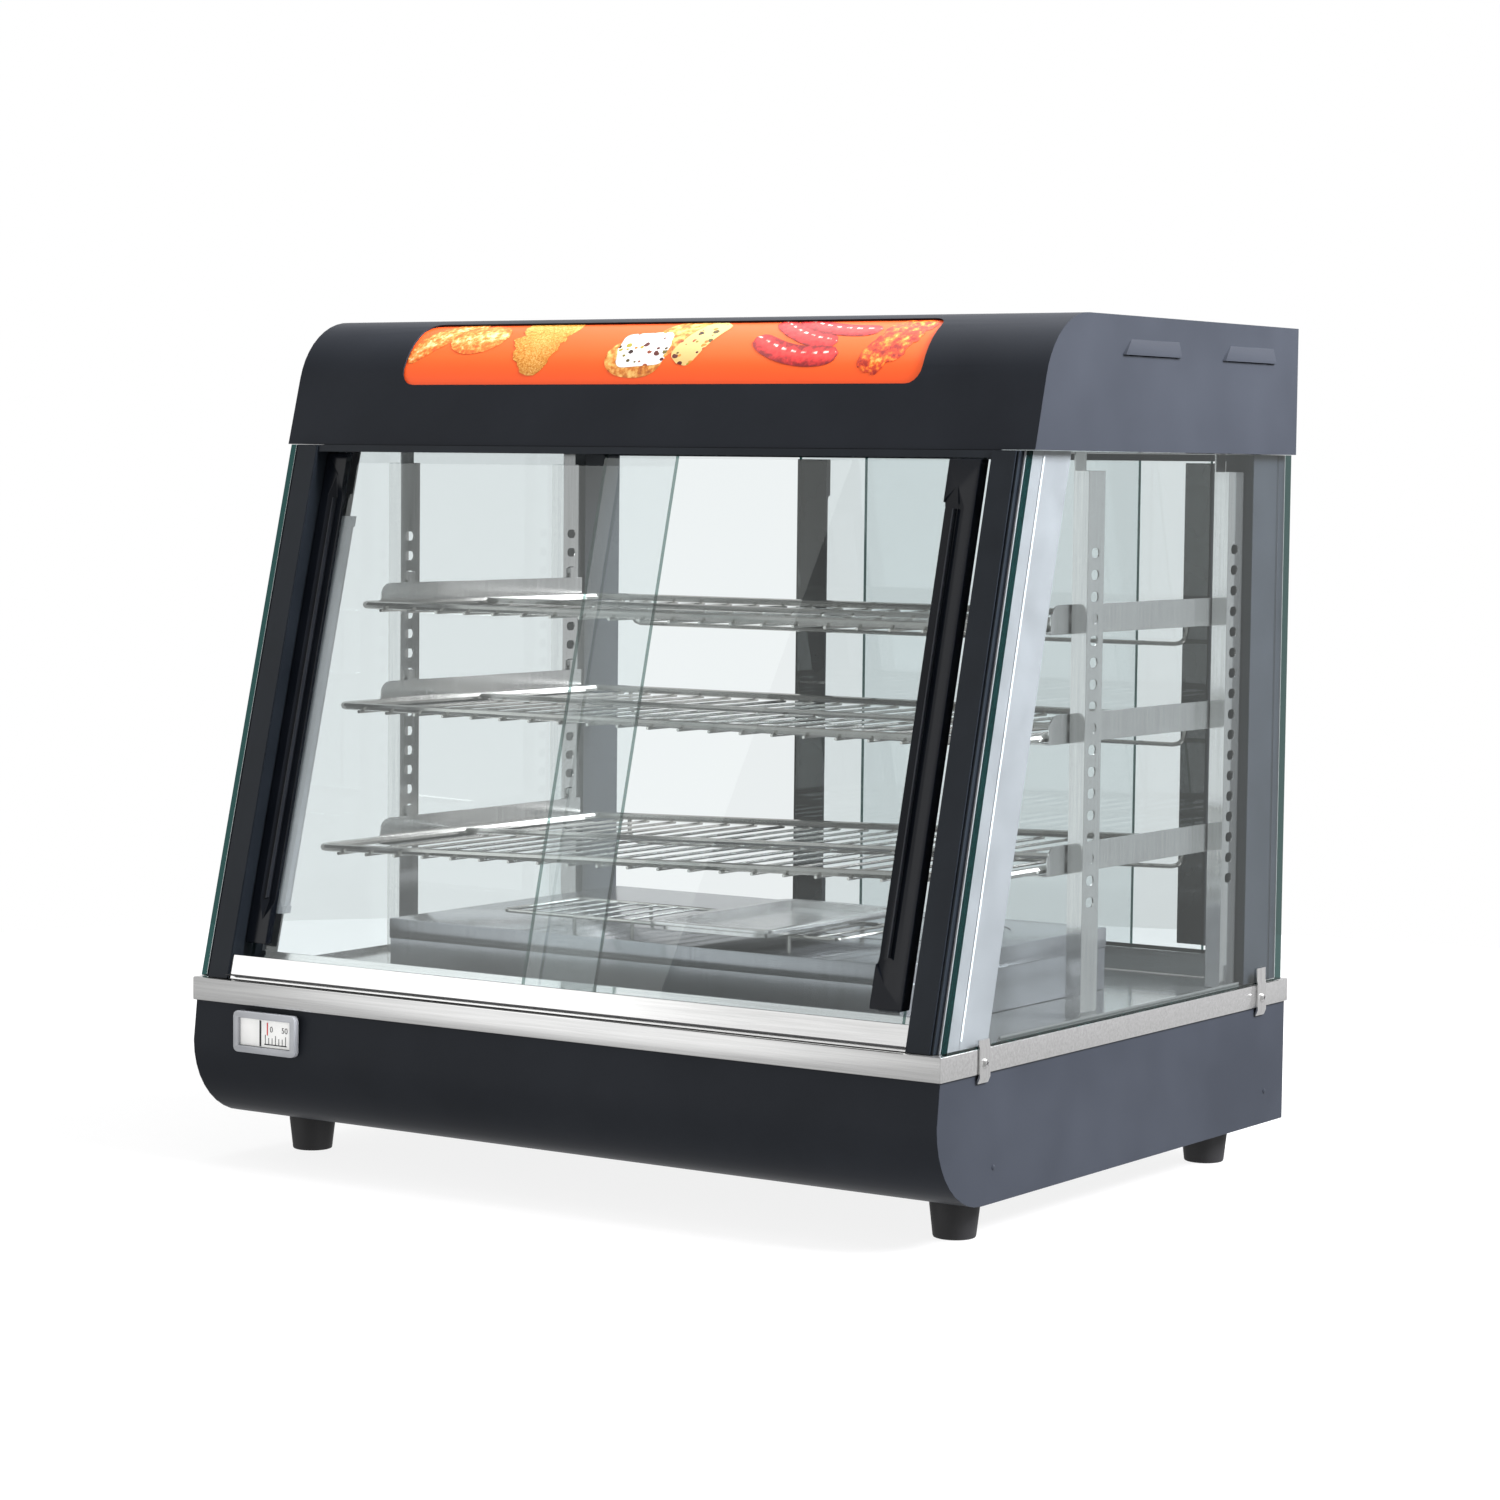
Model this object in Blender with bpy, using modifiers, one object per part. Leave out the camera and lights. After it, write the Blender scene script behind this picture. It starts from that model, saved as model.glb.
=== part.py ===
"""Heated countertop food display case with sloped front, modelled as separate parts.

Row frame: +Z up, +X to the right of someone facing the sloped front, -Y towards that person.
The origin is on the table, under the middle of the bounding box. Sizes below are in millimetres;
depths are measured backwards from the front face of the deck band.
"""
import math

import bmesh
import bpy
from mathutils import Matrix, Vector

MM = 0.001
GAP = 0.4

# Overall frame
CENTRE_DEPTH = 261.25
DECK_HALF = 330.0
DECK_DEPTH = 518.0
DECK_TOP = 138.9
BAND_BOTTOM = 121.4
SHEET = 1.3
CEILING = 541.2

# Base housing
BASE_HALF = 328.3
BASE_BOTTOM = 30.1
BASE_TOP = 137.0
BASE_REAR = 516.0
BASE_NOSE_DEPTH = -1.0
BASE_NOSE_Z = 91.1
BASE_RADIUS = 61.0
BASE_WALL = 1.5
REAR_PANEL_DEPTH = 512.0
FOOT_X = 288.4
FOOT_DEPTHS = (90.9, 463.6)
FOOT_TOP_R = 18.5
FOOT_BOTTOM_R = 15.0

# Sloped front: depth = lane + SLOPE * (height above DECK_TOP)
SLOPE = 0.255
STAND = DECK_TOP + GAP
POST_INNER = 299.5
POST_FACE = 4.0
GLASS_OUTER = 329.2
GLASS_THICK = 5.0
GLASS_EDGE_LANE = 9.0
DOOR_GLASS = 4.0
OUTER_LANE = 12.0
INNER_LANE = 24.0
DOOR_WIDTH = 322.5
HANDLE_WIDTHS = (20.0, 25.5)
HANDLE_THICK = 6.7
LIP = 1.6
GROOVE_END = 16.0
GROOVE_TAPER = 17.0
GROOVE_RIM = 7.0
GROOVE_DEEP = 4.4
SILL_TOP = 157.0
HEADER_BOTTOM = 536.0
PANE_BOTTOM = 144.5
PANE_TOP = 538.5
LEFT_DOOR_EDGE = -298.5
RIGHT_DOOR_EDGE = -31.0

# Rear doors
REAR_INNER_LANE = 484.0
REAR_OUTER_LANE = 496.0
REAR_DOOR_WIDTH = 316.0
REAR_LEFT_EDGE = -106.0
REAR_RIGHT_EDGE = -48.0
REAR_HANDLE_WIDTH = 26.0
REAR_POST_INNER = 300.0
REAR_POST_DEPTHS = (455.0, 508.0)

# Shelf standards and brackets
STANDARD_INNER = 303.6
STANDARD_OUTER = 316.0
STANDARD_DEPTHS = (214.0, 429.5)
STANDARD_FLANGE = 24.0
STANDARD_NECK = 16.0
STANDARD_SHEET = 1.2
SLOT_PITCH = 15.5
SLOT_FIRST_Z = 222.0
SLOT_COUNT = 17
SLOT_SIZE = (11.0, 7.0)
SLOT_BACK = 11.2
WEB_TOP_Z = 528.0
BRACKET_WEB = 301.2
BRACKET_LEDGE = 287.0
BRACKET_FRONT = 187.0
BRACKET_REAR = 453.0
HOOK_ABOVE_LEDGE = 25.0
LEFT_HOOK_SLOTS = (2, 9, 14)
RIGHT_HOOK_SLOTS = (3, 9, 14)

# Wire shelves
SHELF_HALF = 296.5
SHELF_REAR = 470.0
SHELF_FRONTS = (107.0, 131.0, 157.0)
SHELF_MIDDLES = (290.0, 308.0, 316.0)
SHELF_RAIL_R = 3.0
SHELF_WIRE_R = 1.3
SHELF_WIRE_COUNT = 21
SHELF_WIRE_PITCH = 27.3
SHELF_STOP_HALF = 262.0
SHELF_STOP_DROP = 21.5
SHELF_STOP_R = 1.8

# Heater box, rack and tray
HEATER_X = (-203.0, 250.0)
HEATER_DEPTH = (78.0, 372.0)
HEATER_TOP = 185.7
HEATER_SEAM = 170.6
RING_CENTRE = (140.0, 270.0)
RING_R = 75.0
RACK_X = (-105.0, 190.0)
RACK_DEPTH = (88.0, 188.0)
RACK_TOP = 199.5
RACK_WIRE_R = 1.5
TRAY_X = (55.0, 160.0)
TRAY_DEPTH = (46.0, 232.0)
TRAY_TOP = 206.0

# Canopy
LOUVRE_DEPTHS = ((231.0, 319.0), (384.0, 471.0))
LOUVRE_Z = (609.5, 621.5)
CANOPY_HALF = 331.3
CANOPY_BOTTOM = 541.5
CANOPY_TOP = 637.2
CANOPY_FRONT = 110.2
CANOPY_REAR = 510.2
CANOPY_RADIUS = 61.0
CANOPY_LEAN = math.radians(15.2)
SIGN_HALF = 231.0
SIGN_LOW = 587.0
SIGN_HIGH_DEPTH = 163.0

# Controls on the rear panel
KNOB_X = 200.0
CONTROL_Z = 78.0
ROCKER_X = {"power_rocker": 130.0, "light_rocker": 95.0}
GLAND_X = -230.0
REAR_LIMIT = 529.0

COLORS = {
    "black_paint": ((0.022, 0.024, 0.028), 0.32, 0.0),
    "stainless": ((0.62, 0.62, 0.61), 0.18, 1.0),
    "chrome": ((0.75, 0.74, 0.72), 0.10, 1.0),
    "glass": ((0.80, 0.90, 0.87), 0.03, 0.0),
    "black_plastic": ((0.015, 0.015, 0.017), 0.40, 0.0),
    "clear_plastic": ((0.70, 0.72, 0.74), 0.15, 0.0),
    "card": ((0.90, 0.90, 0.88), 0.60, 0.0),
    "sign": ((0.95, 0.22, 0.05), 0.35, 0.0),
    "lamp": ((0.85, 0.86, 0.88), 0.30, 0.0),
    "element": ((0.20, 0.17, 0.15), 0.50, 1.0),
    "red_plastic": ((0.55, 0.03, 0.02), 0.30, 0.0),
}


def clear_scene():
    for obj in list(bpy.data.objects):
        bpy.data.objects.remove(obj, do_unlink=True)


def new_collection(name):
    collection = bpy.data.collections.new(name)
    bpy.context.scene.collection.children.link(collection)
    return collection


def point(x, depth, z):
    """World position in metres of a point given by width, depth and height in millimetres."""
    return Vector((x * MM, (depth - CENTRE_DEPTH) * MM, z * MM))


def material(name, kind):
    colour, rough, metal = COLORS[kind]
    mat = bpy.data.materials.new(name + "_mat")
    mat.use_nodes = True
    shader = mat.node_tree.nodes["Principled BSDF"]
    shader.inputs["Base Color"].default_value = (*colour, 1.0)
    shader.inputs["Roughness"].default_value = rough
    shader.inputs["Metallic"].default_value = metal
    return mat


def link(name, mesh, kind=None):
    """Puts a mesh in the model, or among the cutters when it has no material kind."""
    obj = bpy.data.objects.new(name, mesh)
    if kind is None:
        CUTTERS.objects.link(obj)
        obj.hide_render = True
        obj.display_type = "WIRE"
    else:
        PARTS.objects.link(obj)
        mesh.materials.clear()
        mesh.materials.append(material(name, kind))
    return obj


def box(name, xs, depths, zs, kind=None, bevel=0.0, segments=2):
    """A rectangular block between two widths, two depths and two heights."""
    mesh = bpy.data.meshes.new(name)
    bm = bmesh.new()
    bmesh.ops.create_cube(bm, size=1.0)
    size = Vector((xs[1] - xs[0], depths[1] - depths[0], zs[1] - zs[0])) * MM
    bmesh.ops.scale(bm, vec=size, verts=bm.verts)
    bm.to_mesh(mesh)
    bm.free()
    obj = link(name, mesh, kind)
    low = point(xs[0], depths[0], zs[0])
    obj.location = low + size / 2
    if bevel:
        add_bevel(obj, bevel, segments)
    return obj


def add_bevel(obj, width, segments=2, angle=30.0):
    mod = obj.modifiers.new("round_edges", "BEVEL")
    mod.width = width * MM
    mod.segments = segments
    mod.limit_method = "ANGLE"
    mod.angle_limit = math.radians(angle)


def cylinder(name, radius, length, centre, axis, kind=None, radius_top=None, sides=24):
    """A cylinder or cone frustum about centre along axis, radius at its start."""
    mesh = bpy.data.meshes.new(name)
    bm = bmesh.new()
    bmesh.ops.create_cone(
        bm, cap_ends=True, segments=sides, radius1=radius * MM,
        radius2=(radius if radius_top is None else radius_top) * MM, depth=length * MM,
    )
    bm.to_mesh(mesh)
    bm.free()
    mesh.shade_smooth()
    mesh.set_sharp_from_angle(angle=math.radians(35))
    obj = link(name, mesh, kind)
    obj.location = centre
    obj.rotation_euler = Vector(axis).to_track_quat("Z", "Y").to_euler()
    return obj


def curve_to_mesh(curve_obj, name):
    """Evaluates a curve object, welds its caps and returns the mesh in world space."""
    bpy.context.view_layer.update()
    graph = bpy.context.evaluated_depsgraph_get()
    mesh = bpy.data.meshes.new_from_object(curve_obj.evaluated_get(graph))
    mesh.name = name
    mesh.transform(curve_obj.matrix_world)
    bm = bmesh.new()
    bm.from_mesh(mesh)
    bmesh.ops.remove_doubles(bm, verts=bm.verts, dist=0.000005)
    bmesh.ops.recalc_face_normals(bm, faces=bm.faces)
    bm.to_mesh(mesh)
    bm.free()
    data = curve_obj.data
    bpy.data.objects.remove(curve_obj, do_unlink=True)
    bpy.data.curves.remove(data)
    return mesh


PLANES = {
    # outline (a, b) -> world axes of a, b and of the extrusion
    "depth_z": Matrix(((0, 0, 1, 0), (1, 0, 0, 0), (0, 1, 0, 0), (0, 0, 0, 1))),
    "x_z": Matrix(((1, 0, 0, 0), (0, 0, -1, 0), (0, 1, 0, 0), (0, 0, 0, 1))),
    "x_depth": Matrix.Identity(4),
}


def prism(name, outline, span, plane, kind=None, slope=0.0):
    """A flat outline extruded over span; slope leans it back with height."""
    curve = bpy.data.curves.new(name, "CURVE")
    curve.dimensions = "2D"
    curve.fill_mode = "BOTH"
    curve.resolution_u = 1
    curve.extrude = abs(span[1] - span[0]) / 2 * MM
    spline = curve.splines.new("POLY")
    spline.points.add(len(outline) - 1)
    for spline_point, (a, b) in zip(spline.points, outline):
        spline_point.co = (a * MM, b * MM, 0.0, 1.0)
    spline.use_cyclic_u = True
    obj = bpy.data.objects.new(name, curve)
    bpy.context.scene.collection.objects.link(obj)
    middle = (span[0] + span[1]) / 2
    offsets = {"depth_z": (middle, 0, 0), "x_z": (0, middle, 0), "x_depth": (0, 0, middle)}
    x, depth, z = offsets[plane]
    obj.matrix_world = Matrix.Translation(point(x, depth, z)) @ PLANES[plane]
    mesh = curve_to_mesh(obj, name)
    if slope:
        lean = Matrix.Identity(4)
        lean[1][2] = slope
        lean[1][3] = -slope * DECK_TOP * MM
        mesh.transform(lean)
    return link(name, mesh, kind)


def wire(name, path, radius, cyclic=False, detail=2):
    """Mesh of a round bar along a path of (x, depth, z) points."""
    curve = bpy.data.curves.new(name, "CURVE")
    curve.dimensions = "3D"
    curve.bevel_depth = radius * MM
    curve.bevel_resolution = detail
    curve.resolution_u = 1
    curve.use_fill_caps = True
    spline = curve.splines.new("POLY")
    spline.points.add(len(path) - 1)
    for spline_point, (x, depth, z) in zip(spline.points, path):
        spline_point.co = (*point(x, depth, z), 1.0)
    spline.use_cyclic_u = cyclic
    obj = bpy.data.objects.new(name, curve)
    bpy.context.scene.collection.objects.link(obj)
    return curve_to_mesh(obj, name)


def hull(name, corners, kind=None, slope=0.0):
    """The convex solid around some (x, depth, z) points; slope leans it back with height."""
    mesh = bpy.data.meshes.new(name)
    bm = bmesh.new()
    for x, depth, z in corners:
        bm.verts.new(point(x, depth + slope * (z - DECK_TOP), z))
    bmesh.ops.convex_hull(bm, input=bm.verts)
    bmesh.ops.recalc_face_normals(bm, faces=bm.faces)
    bm.to_mesh(mesh)
    bm.free()
    return link(name, mesh, kind)


def join_meshes(name, meshes):
    bm = bmesh.new()
    for mesh in meshes:
        bm.from_mesh(mesh)
        bpy.data.meshes.remove(mesh)
    joined = bpy.data.meshes.new(name)
    bm.to_mesh(joined)
    bm.free()
    return joined


def boolean(obj, other, operation):
    mod = obj.modifiers.new(operation.lower() + "_" + other.name, "BOOLEAN")
    mod.operation = operation
    mod.solver = "EXACT"
    mod.object = other
    return obj


def cut(obj, *cutters):
    for cutter in cutters:
        boolean(obj, cutter, "DIFFERENCE")
    return obj


def fuse(obj, *others):
    for other in others:
        boolean(obj, other, "UNION")
    return obj


def arc(centre, radius, start, end, steps):
    """Points on an arc, angles in degrees, both ends included."""
    points = []
    for i in range(steps + 1):
        angle = math.radians(start + (end - start) * i / steps)
        points.append((centre[0] + radius * math.cos(angle), centre[1] + radius * math.sin(angle)))
    return points


def rounded_rect(low, high, radius, steps=4):
    (x0, y0), (x1, y1) = low, high
    points = arc((x1 - radius, y0 + radius), radius, -90, 0, steps)
    points += arc((x1 - radius, y1 - radius), radius, 0, 90, steps)
    points += arc((x0 + radius, y1 - radius), radius, 90, 180, steps)
    points += arc((x0 + radius, y0 + radius), radius, 180, 270, steps)
    return points


def mirrored(outline, side):
    """The outline on the right side (+1) or its mirror image on the left (-1)."""
    return [(a * side, b) for a, b in outline]


def spans(side, inner, outer):
    """Width limits of something between two distances from the middle, on one side."""
    return tuple(sorted((side * inner, side * outer)))


def put_on_joint(name, position, *objects):
    """Hangs moving objects on an empty that stands on their joint's axis."""
    empty = bpy.data.objects.new(name, None)
    PARTS.objects.link(empty)
    empty.location = position
    bpy.context.view_layer.update()
    for obj in objects:
        obj.parent = empty
        obj.matrix_parent_inverse = empty.matrix_world.inverted()


SIDES = {"left": -1, "right": 1}


def base_profile(inset, rear, top):
    """Front, nose curve and underside of the base, moved inwards by inset."""
    centre = (BASE_NOSE_DEPTH + BASE_RADIUS, BASE_NOSE_Z)
    profile = [(2.5 + inset, top), (2.5 + inset, BAND_BOTTOM)]
    profile += arc(centre, BASE_RADIUS - inset, 180, 270, 10)
    profile += [(rear, BASE_BOTTOM + inset), (rear, top)]
    return profile


def make_base():
    shell = prism("base_shell", base_profile(0, BASE_REAR, BASE_TOP), (-BASE_HALF, BASE_HALF),
                  "depth_z", "black_paint")
    inside = BASE_HALF - BASE_WALL
    room = prism("base_room", base_profile(BASE_WALL, BASE_REAR + 40, BASE_TOP + 40),
                 (-inside, inside), "depth_z")
    cut(shell, room)
    half = inside - GAP
    panel = box("base_rear_panel", (-half, half), (REAR_PANEL_DEPTH, REAR_PANEL_DEPTH + SHEET),
                (BASE_BOTTOM + BASE_WALL + GAP, BASE_TOP - GAP), "black_paint")
    through = (REAR_PANEL_DEPTH - 5, REAR_PANEL_DEPTH + 5)
    for i in range(6):
        x = -110 + i * 22.0
        slot = box(f"vent_slot_{i}", (x, x + 5), through, (60, 110))
        cut(panel, slot)
    for name, x in ROCKER_X.items():
        hole = box(name + "_hole", (x - 7.2, x + 7.2), through, (CONTROL_Z - 10.5, CONTROL_Z + 10.5))
        cut(panel, hole)
    for name, x, radius in (("knob_hole", KNOB_X, 3.8), ("gland_hole", GLAND_X, 6.6)):
        cut(panel, cylinder(name, radius, 10, point(x, REAR_PANEL_DEPTH, CONTROL_Z), (0, 1, 0), sides=16))
    for side_name, side in SIDES.items():
        for depth, place in zip(FOOT_DEPTHS, ("front", "rear")):
            height = BASE_BOTTOM - GAP
            foot = cylinder(f"foot_{place}_{side_name}", FOOT_BOTTOM_R, height,
                            point(side * FOOT_X, depth, height / 2), (0, 0, 1), "black_plastic",
                            radius_top=FOOT_TOP_R)
            add_bevel(foot, 1.0)


def make_thermometer():
    low, high = (-284.0, 87.0), (-224.0, 118.0)
    depths = (-6.5, -1.35)
    bezel = prism("thermometer_bezel", rounded_rect(low, high, 4.0, 3), depths, "x_z", "clear_plastic")
    rim = 5
    pocket = box("bezel_pocket", (low[0] + rim, high[0] - rim), (depths[0] - 3, -2.4),
                 (low[1] + rim, high[1] - rim))
    cut(bezel, pocket)
    add_bevel(bezel, 0.9, 2, 50)
    box("thermometer_card", (low[0] + 5 + GAP, high[0] - 5 - GAP), (-4.2, -2.4 - GAP),
        (low[1] + 5 + GAP, high[1] - 5 - GAP), "card")


def make_deck():
    deck = box("deck_trim", (-DECK_HALF, DECK_HALF), (0, DECK_DEPTH), (BAND_BOTTOM, DECK_TOP), "stainless")
    add_bevel(deck, 0.9)
    under = box("deck_under", (-DECK_HALF + SHEET, DECK_HALF - SHEET), (SHEET, DECK_DEPTH - SHEET),
                (BAND_BOTTOM - 10, DECK_TOP - SHEET))
    cut(deck, under)
    for side_name, side in SIDES.items():
        lip = box(f"deck_lip_{side_name}", spans(side, 321.0, 323.2), (90, 448),
                  (DECK_TOP - 0.8, DECK_TOP + 3.6))
        fuse(deck, lip)


def track_profile(first, middle, second, low, high, floor_low, floor_high):
    """Two-lane door track between depths first and second: floor, outer walls and a middle rib."""
    wall = 1.8
    rib = low + (high - low) * 0.45
    return [
        (first, floor_low), (second, floor_low), (second, high), (second - wall, high),
        (second - wall, floor_high), (middle + wall / 2, floor_high), (middle + wall / 2, rib),
        (middle - wall / 2, rib), (middle - wall / 2, floor_high), (first + wall, floor_high),
        (first + wall, high), (first, high),
    ]


def make_tracks():
    front = (6.0, 20.0, 40.0)
    rear = (480.0, 492.0, 506.0)
    floor = (STAND, STAND + 2.2)
    roof = (CEILING, CEILING - 1.6)
    prism("front_sill", track_profile(*front, STAND, SILL_TOP, *floor),
          (-POST_INNER + GAP, POST_INNER - GAP),
          "depth_z", "stainless", SLOPE)
    prism("front_header", track_profile(*front, CEILING, HEADER_BOTTOM, *roof),
          (-POST_INNER + GAP, POST_INNER - GAP), "depth_z", "black_plastic", SLOPE)
    half = REAR_POST_INNER - GAP
    prism("rear_sill", track_profile(*rear, STAND, SILL_TOP, *floor), (-half, half), "depth_z", "stainless")
    prism("rear_header", track_profile(*rear, CEILING, HEADER_BOTTOM, *roof), (-half, half), "depth_z",
          "black_plastic")


def make_posts():
    face = POST_FACE
    post = [
        (POST_INNER, face), (318.6, face), (318.6, face + 2.4), (319.8, face + 2.4), (319.8, face + 1.0),
        (320.9, face + 1.0), (320.9, face + 4.5), (321.8, face + 4.5), (321.8, face + 36.0),
        (POST_INNER, face + 36.0), (POST_INNER, face + 1.2), (POST_INNER + 0.8, face + 1.2),
        (POST_INNER + 0.8, face + 0.6), (POST_INNER, face + 0.6),
    ]
    liner_rear = 72.0
    liner = [
        (322.3, 9.0), (323.4, 9.0), (323.4, 33.5), (323.9, 34.2), (323.9, 36.4), (323.4, 37.1),
        (323.4, liner_rear), (311.0, liner_rear), (311.0, liner_rear - 1.1), (322.3, liner_rear - 1.1),
    ]
    near, far = REAR_POST_DEPTHS
    rear = [
        (REAR_POST_INNER, near), (323.6, near), (323.6, far - 14), (322.4, far - 14), (322.4, far - 11),
        (323.6, far - 11), (323.6, far), (REAR_POST_INNER + 4, far), (REAR_POST_INNER, far - 4),
    ]
    for side_name, side in SIDES.items():
        prism(f"front_post_{side_name}", mirrored(post, side), (STAND, CEILING), "x_depth",
              "black_plastic", SLOPE)
        prism(f"post_liner_{side_name}", mirrored(liner, side), (STAND, CEILING), "x_depth",
              "stainless", SLOPE)
        prism(f"rear_post_{side_name}", mirrored(rear, side), (STAND, CEILING), "x_depth",
              "black_plastic")


def make_side_glass():
    top_edge = GLASS_EDGE_LANE + SLOPE * (CEILING - DECK_TOP)
    outline = [(GLASS_EDGE_LANE, STAND), (506.5, STAND), (506.5, CEILING), (top_edge, CEILING)]
    for side_name, side in SIDES.items():
        prism(f"side_glass_{side_name}", outline, spans(side, GLASS_OUTER - GLASS_THICK, GLASS_OUTER),
              "depth_z", "glass")
        for depth, top, place in ((55.7, 145.0, "front"), (471.0, 151.6, "rear")):
            clip = [
                (330.6, top), (329.6, top), (329.6, 141.4), (330.4, 138.4), (330.4, 120.4), (329.0, 116.6),
                (329.8, 115.2), (331.6, 119.4), (331.6, 138.8), (330.6, 142.2),
            ]
            body = prism(f"glass_clip_{place}_{side_name}", mirrored(clip, side), (depth - 7, depth + 7),
                         "x_z", "stainless")
            screw = cylinder(f"screw_{place}_{side_name}", 3.9, 2.8, point(side * 332.1, depth, 129.0),
                             (side, 0, 0), radius_top=2.6, sides=14)
            fuse(body, screw)


def slot_height(index):
    return SLOT_FIRST_Z + SLOT_PITCH * index


def ledge_height(index):
    return slot_height(index) - HOOK_ABOVE_LEDGE


def make_standards():
    for place, web in zip(("front", "rear"), STANDARD_DEPTHS):
        back = web + STANDARD_FLANGE
        inner, outer, sheet = STANDARD_INNER, STANDARD_OUTER, STANDARD_SHEET
        channel = [
            (inner, web), (outer, web), (outer, back), (outer - sheet, back), (outer - sheet, web + sheet),
            (inner + sheet, web + sheet), (inner + sheet, back), (inner, back),
        ]
        for side_name, side in SIDES.items():
            name = f"standard_{place}_{side_name}"
            body = prism(name, mirrored(channel, side), (STAND, CEILING), "x_depth", "stainless")
            notch = box(name + "_notch", spans(side, inner + sheet, outer + 5), (web - 5, back + 5),
                        (WEB_TOP_Z, CEILING + 5))
            neck = box(name + "_neck", spans(side, inner - 5, inner + 5), (web + STANDARD_NECK, back + 5),
                       (WEB_TOP_Z, CEILING + 5))
            cut(body, notch, neck, slot_cutters(name + "_slots", side, web + SLOT_BACK))


def slot_cutters(name, side, depth):
    """All the rounded hook slots of one standard, through both of its flanges."""
    half_depth, half_height = SLOT_SIZE[0] / 2, SLOT_SIZE[1] / 2
    middle = side * (STANDARD_INNER + STANDARD_OUTER) / 2
    meshes = []
    for index in range(SLOT_COUNT):
        z = slot_height(index)
        outline = rounded_rect((depth - half_depth, z - half_height),
                               (depth + half_depth, z + half_height), 3.0, 2)
        slot = prism(name, outline, (middle - 15, middle + 15), "depth_z")
        meshes.append(slot.data)
        bpy.data.objects.remove(slot)
    return link(name, join_meshes(name, meshes))


def make_brackets():
    thick = 1.2
    for side_name, side in SIDES.items():
        slots = LEFT_HOOK_SLOTS if side < 0 else RIGHT_HOOK_SLOTS
        for level, index in zip(("low", "mid", "top"), slots):
            ledge = ledge_height(index)
            name = f"bracket_{level}_{side_name}"
            hook_z = slot_height(index)
            web_top = ledge + 19.5
            low = ledge - thick - 0.3
            web = [(BRACKET_FRONT, low), (BRACKET_REAR, low), (BRACKET_REAR, web_top)]
            for web_depth in reversed(STANDARD_DEPTHS):
                near, far = web_depth + SLOT_BACK - 4, web_depth + SLOT_BACK + 4
                web += [(far, web_top), (far, hook_z + 2.8), (near, hook_z + 2.8), (near, web_top)]
            web += arc((BRACKET_FRONT + 12, ledge + 7.5), 12, 90, 180, 4)
            body = prism(name, web, spans(side, BRACKET_WEB, BRACKET_WEB + thick), "depth_z", "stainless")
            shelf = box(name + "_ledge", spans(side, BRACKET_LEDGE, BRACKET_WEB + thick / 2),
                        (BRACKET_FRONT - 5, BRACKET_REAR - 0.5), (ledge - thick, ledge))
            fuse(body, shelf)
            for place, web_depth in zip(("front", "rear"), STANDARD_DEPTHS):
                depth = web_depth + SLOT_BACK
                peg = box(f"{name}_peg_{place}", spans(side, BRACKET_WEB + thick / 2, STANDARD_INNER + 3.0),
                          (depth - 2, depth + 2), (hook_z - 2.4, hook_z + 2.4))
                fuse(body, peg)


def corner_path(x_half, front, rear, z, radius, steps=3):
    """Closed rounded rectangle path in a level plane."""
    outline = rounded_rect((-x_half, front), (x_half, rear), radius, steps)
    return [(x, depth, z) for x, depth in outline]


def make_shelf(name, front, middle_depth, centre_z, tilt):
    outer_path = corner_path(SHELF_HALF, front, SHELF_REAR, 0, 9)
    frame = link(name, wire(name, outer_path, SHELF_RAIL_R, True), "chrome")
    drop = SHELF_RAIL_R + SHELF_WIRE_R - 0.6
    wires = []
    for i in range(SHELF_WIRE_COUNT):
        x = (i - (SHELF_WIRE_COUNT - 1) / 2) * SHELF_WIRE_PITCH
        path = [(x, front - 5.5, -drop), (x, SHELF_REAR + 4.5, -drop)]
        wires.append(wire(f"{name}_wire_{i}", path, SHELF_WIRE_R, detail=1))
    cross = link(name + "_wires", join_meshes(name + "_wires", wires))
    middle = wire(name + "_middle", [(-SHELF_HALF, middle_depth, 0), (SHELF_HALF, middle_depth, 0)], 2.4)
    half, low, bend = SHELF_STOP_HALF, -SHELF_STOP_DROP, 10.0
    stop_path = [(-half, SHELF_REAR, -1.0)]
    stop_path += [(x, SHELF_REAR, z) for x, z in arc((-half + bend, low + bend), bend, 180, 270, 3)]
    stop_path += [(x, SHELF_REAR, z) for x, z in arc((half - bend, low + bend), bend, 270, 360, 3)]
    stop_path += [(half, SHELF_REAR, -1.0)]
    stop = wire(name + "_stop", stop_path, SHELF_STOP_R)
    extras = link(name + "_extras", join_meshes(name + "_extras", [middle, stop]))
    fuse(frame, cross, extras)
    for obj in (frame, cross, extras):
        obj.matrix_world = Matrix.Translation((0, 0, centre_z * MM)) @ Matrix.Rotation(-tilt, 4, "Y")
    put_on_joint(name + "_lift", point(0, SHELF_REAR, centre_z), frame)


def make_shelves():
    levels = zip(("low", "mid", "top"), SHELF_FRONTS, SHELF_MIDDLES, LEFT_HOOK_SLOTS, RIGHT_HOOK_SLOTS)
    for level, front, middle_depth, left_slot, right_slot in levels:
        left = ledge_height(left_slot)
        right = ledge_height(right_slot)
        tilt = math.atan2(right - left, 2 * SHELF_HALF)
        centre = (left + right) / 2 + SHELF_RAIL_R + 0.3
        make_shelf(f"shelf_{level}", front, middle_depth, centre, tilt)


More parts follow.
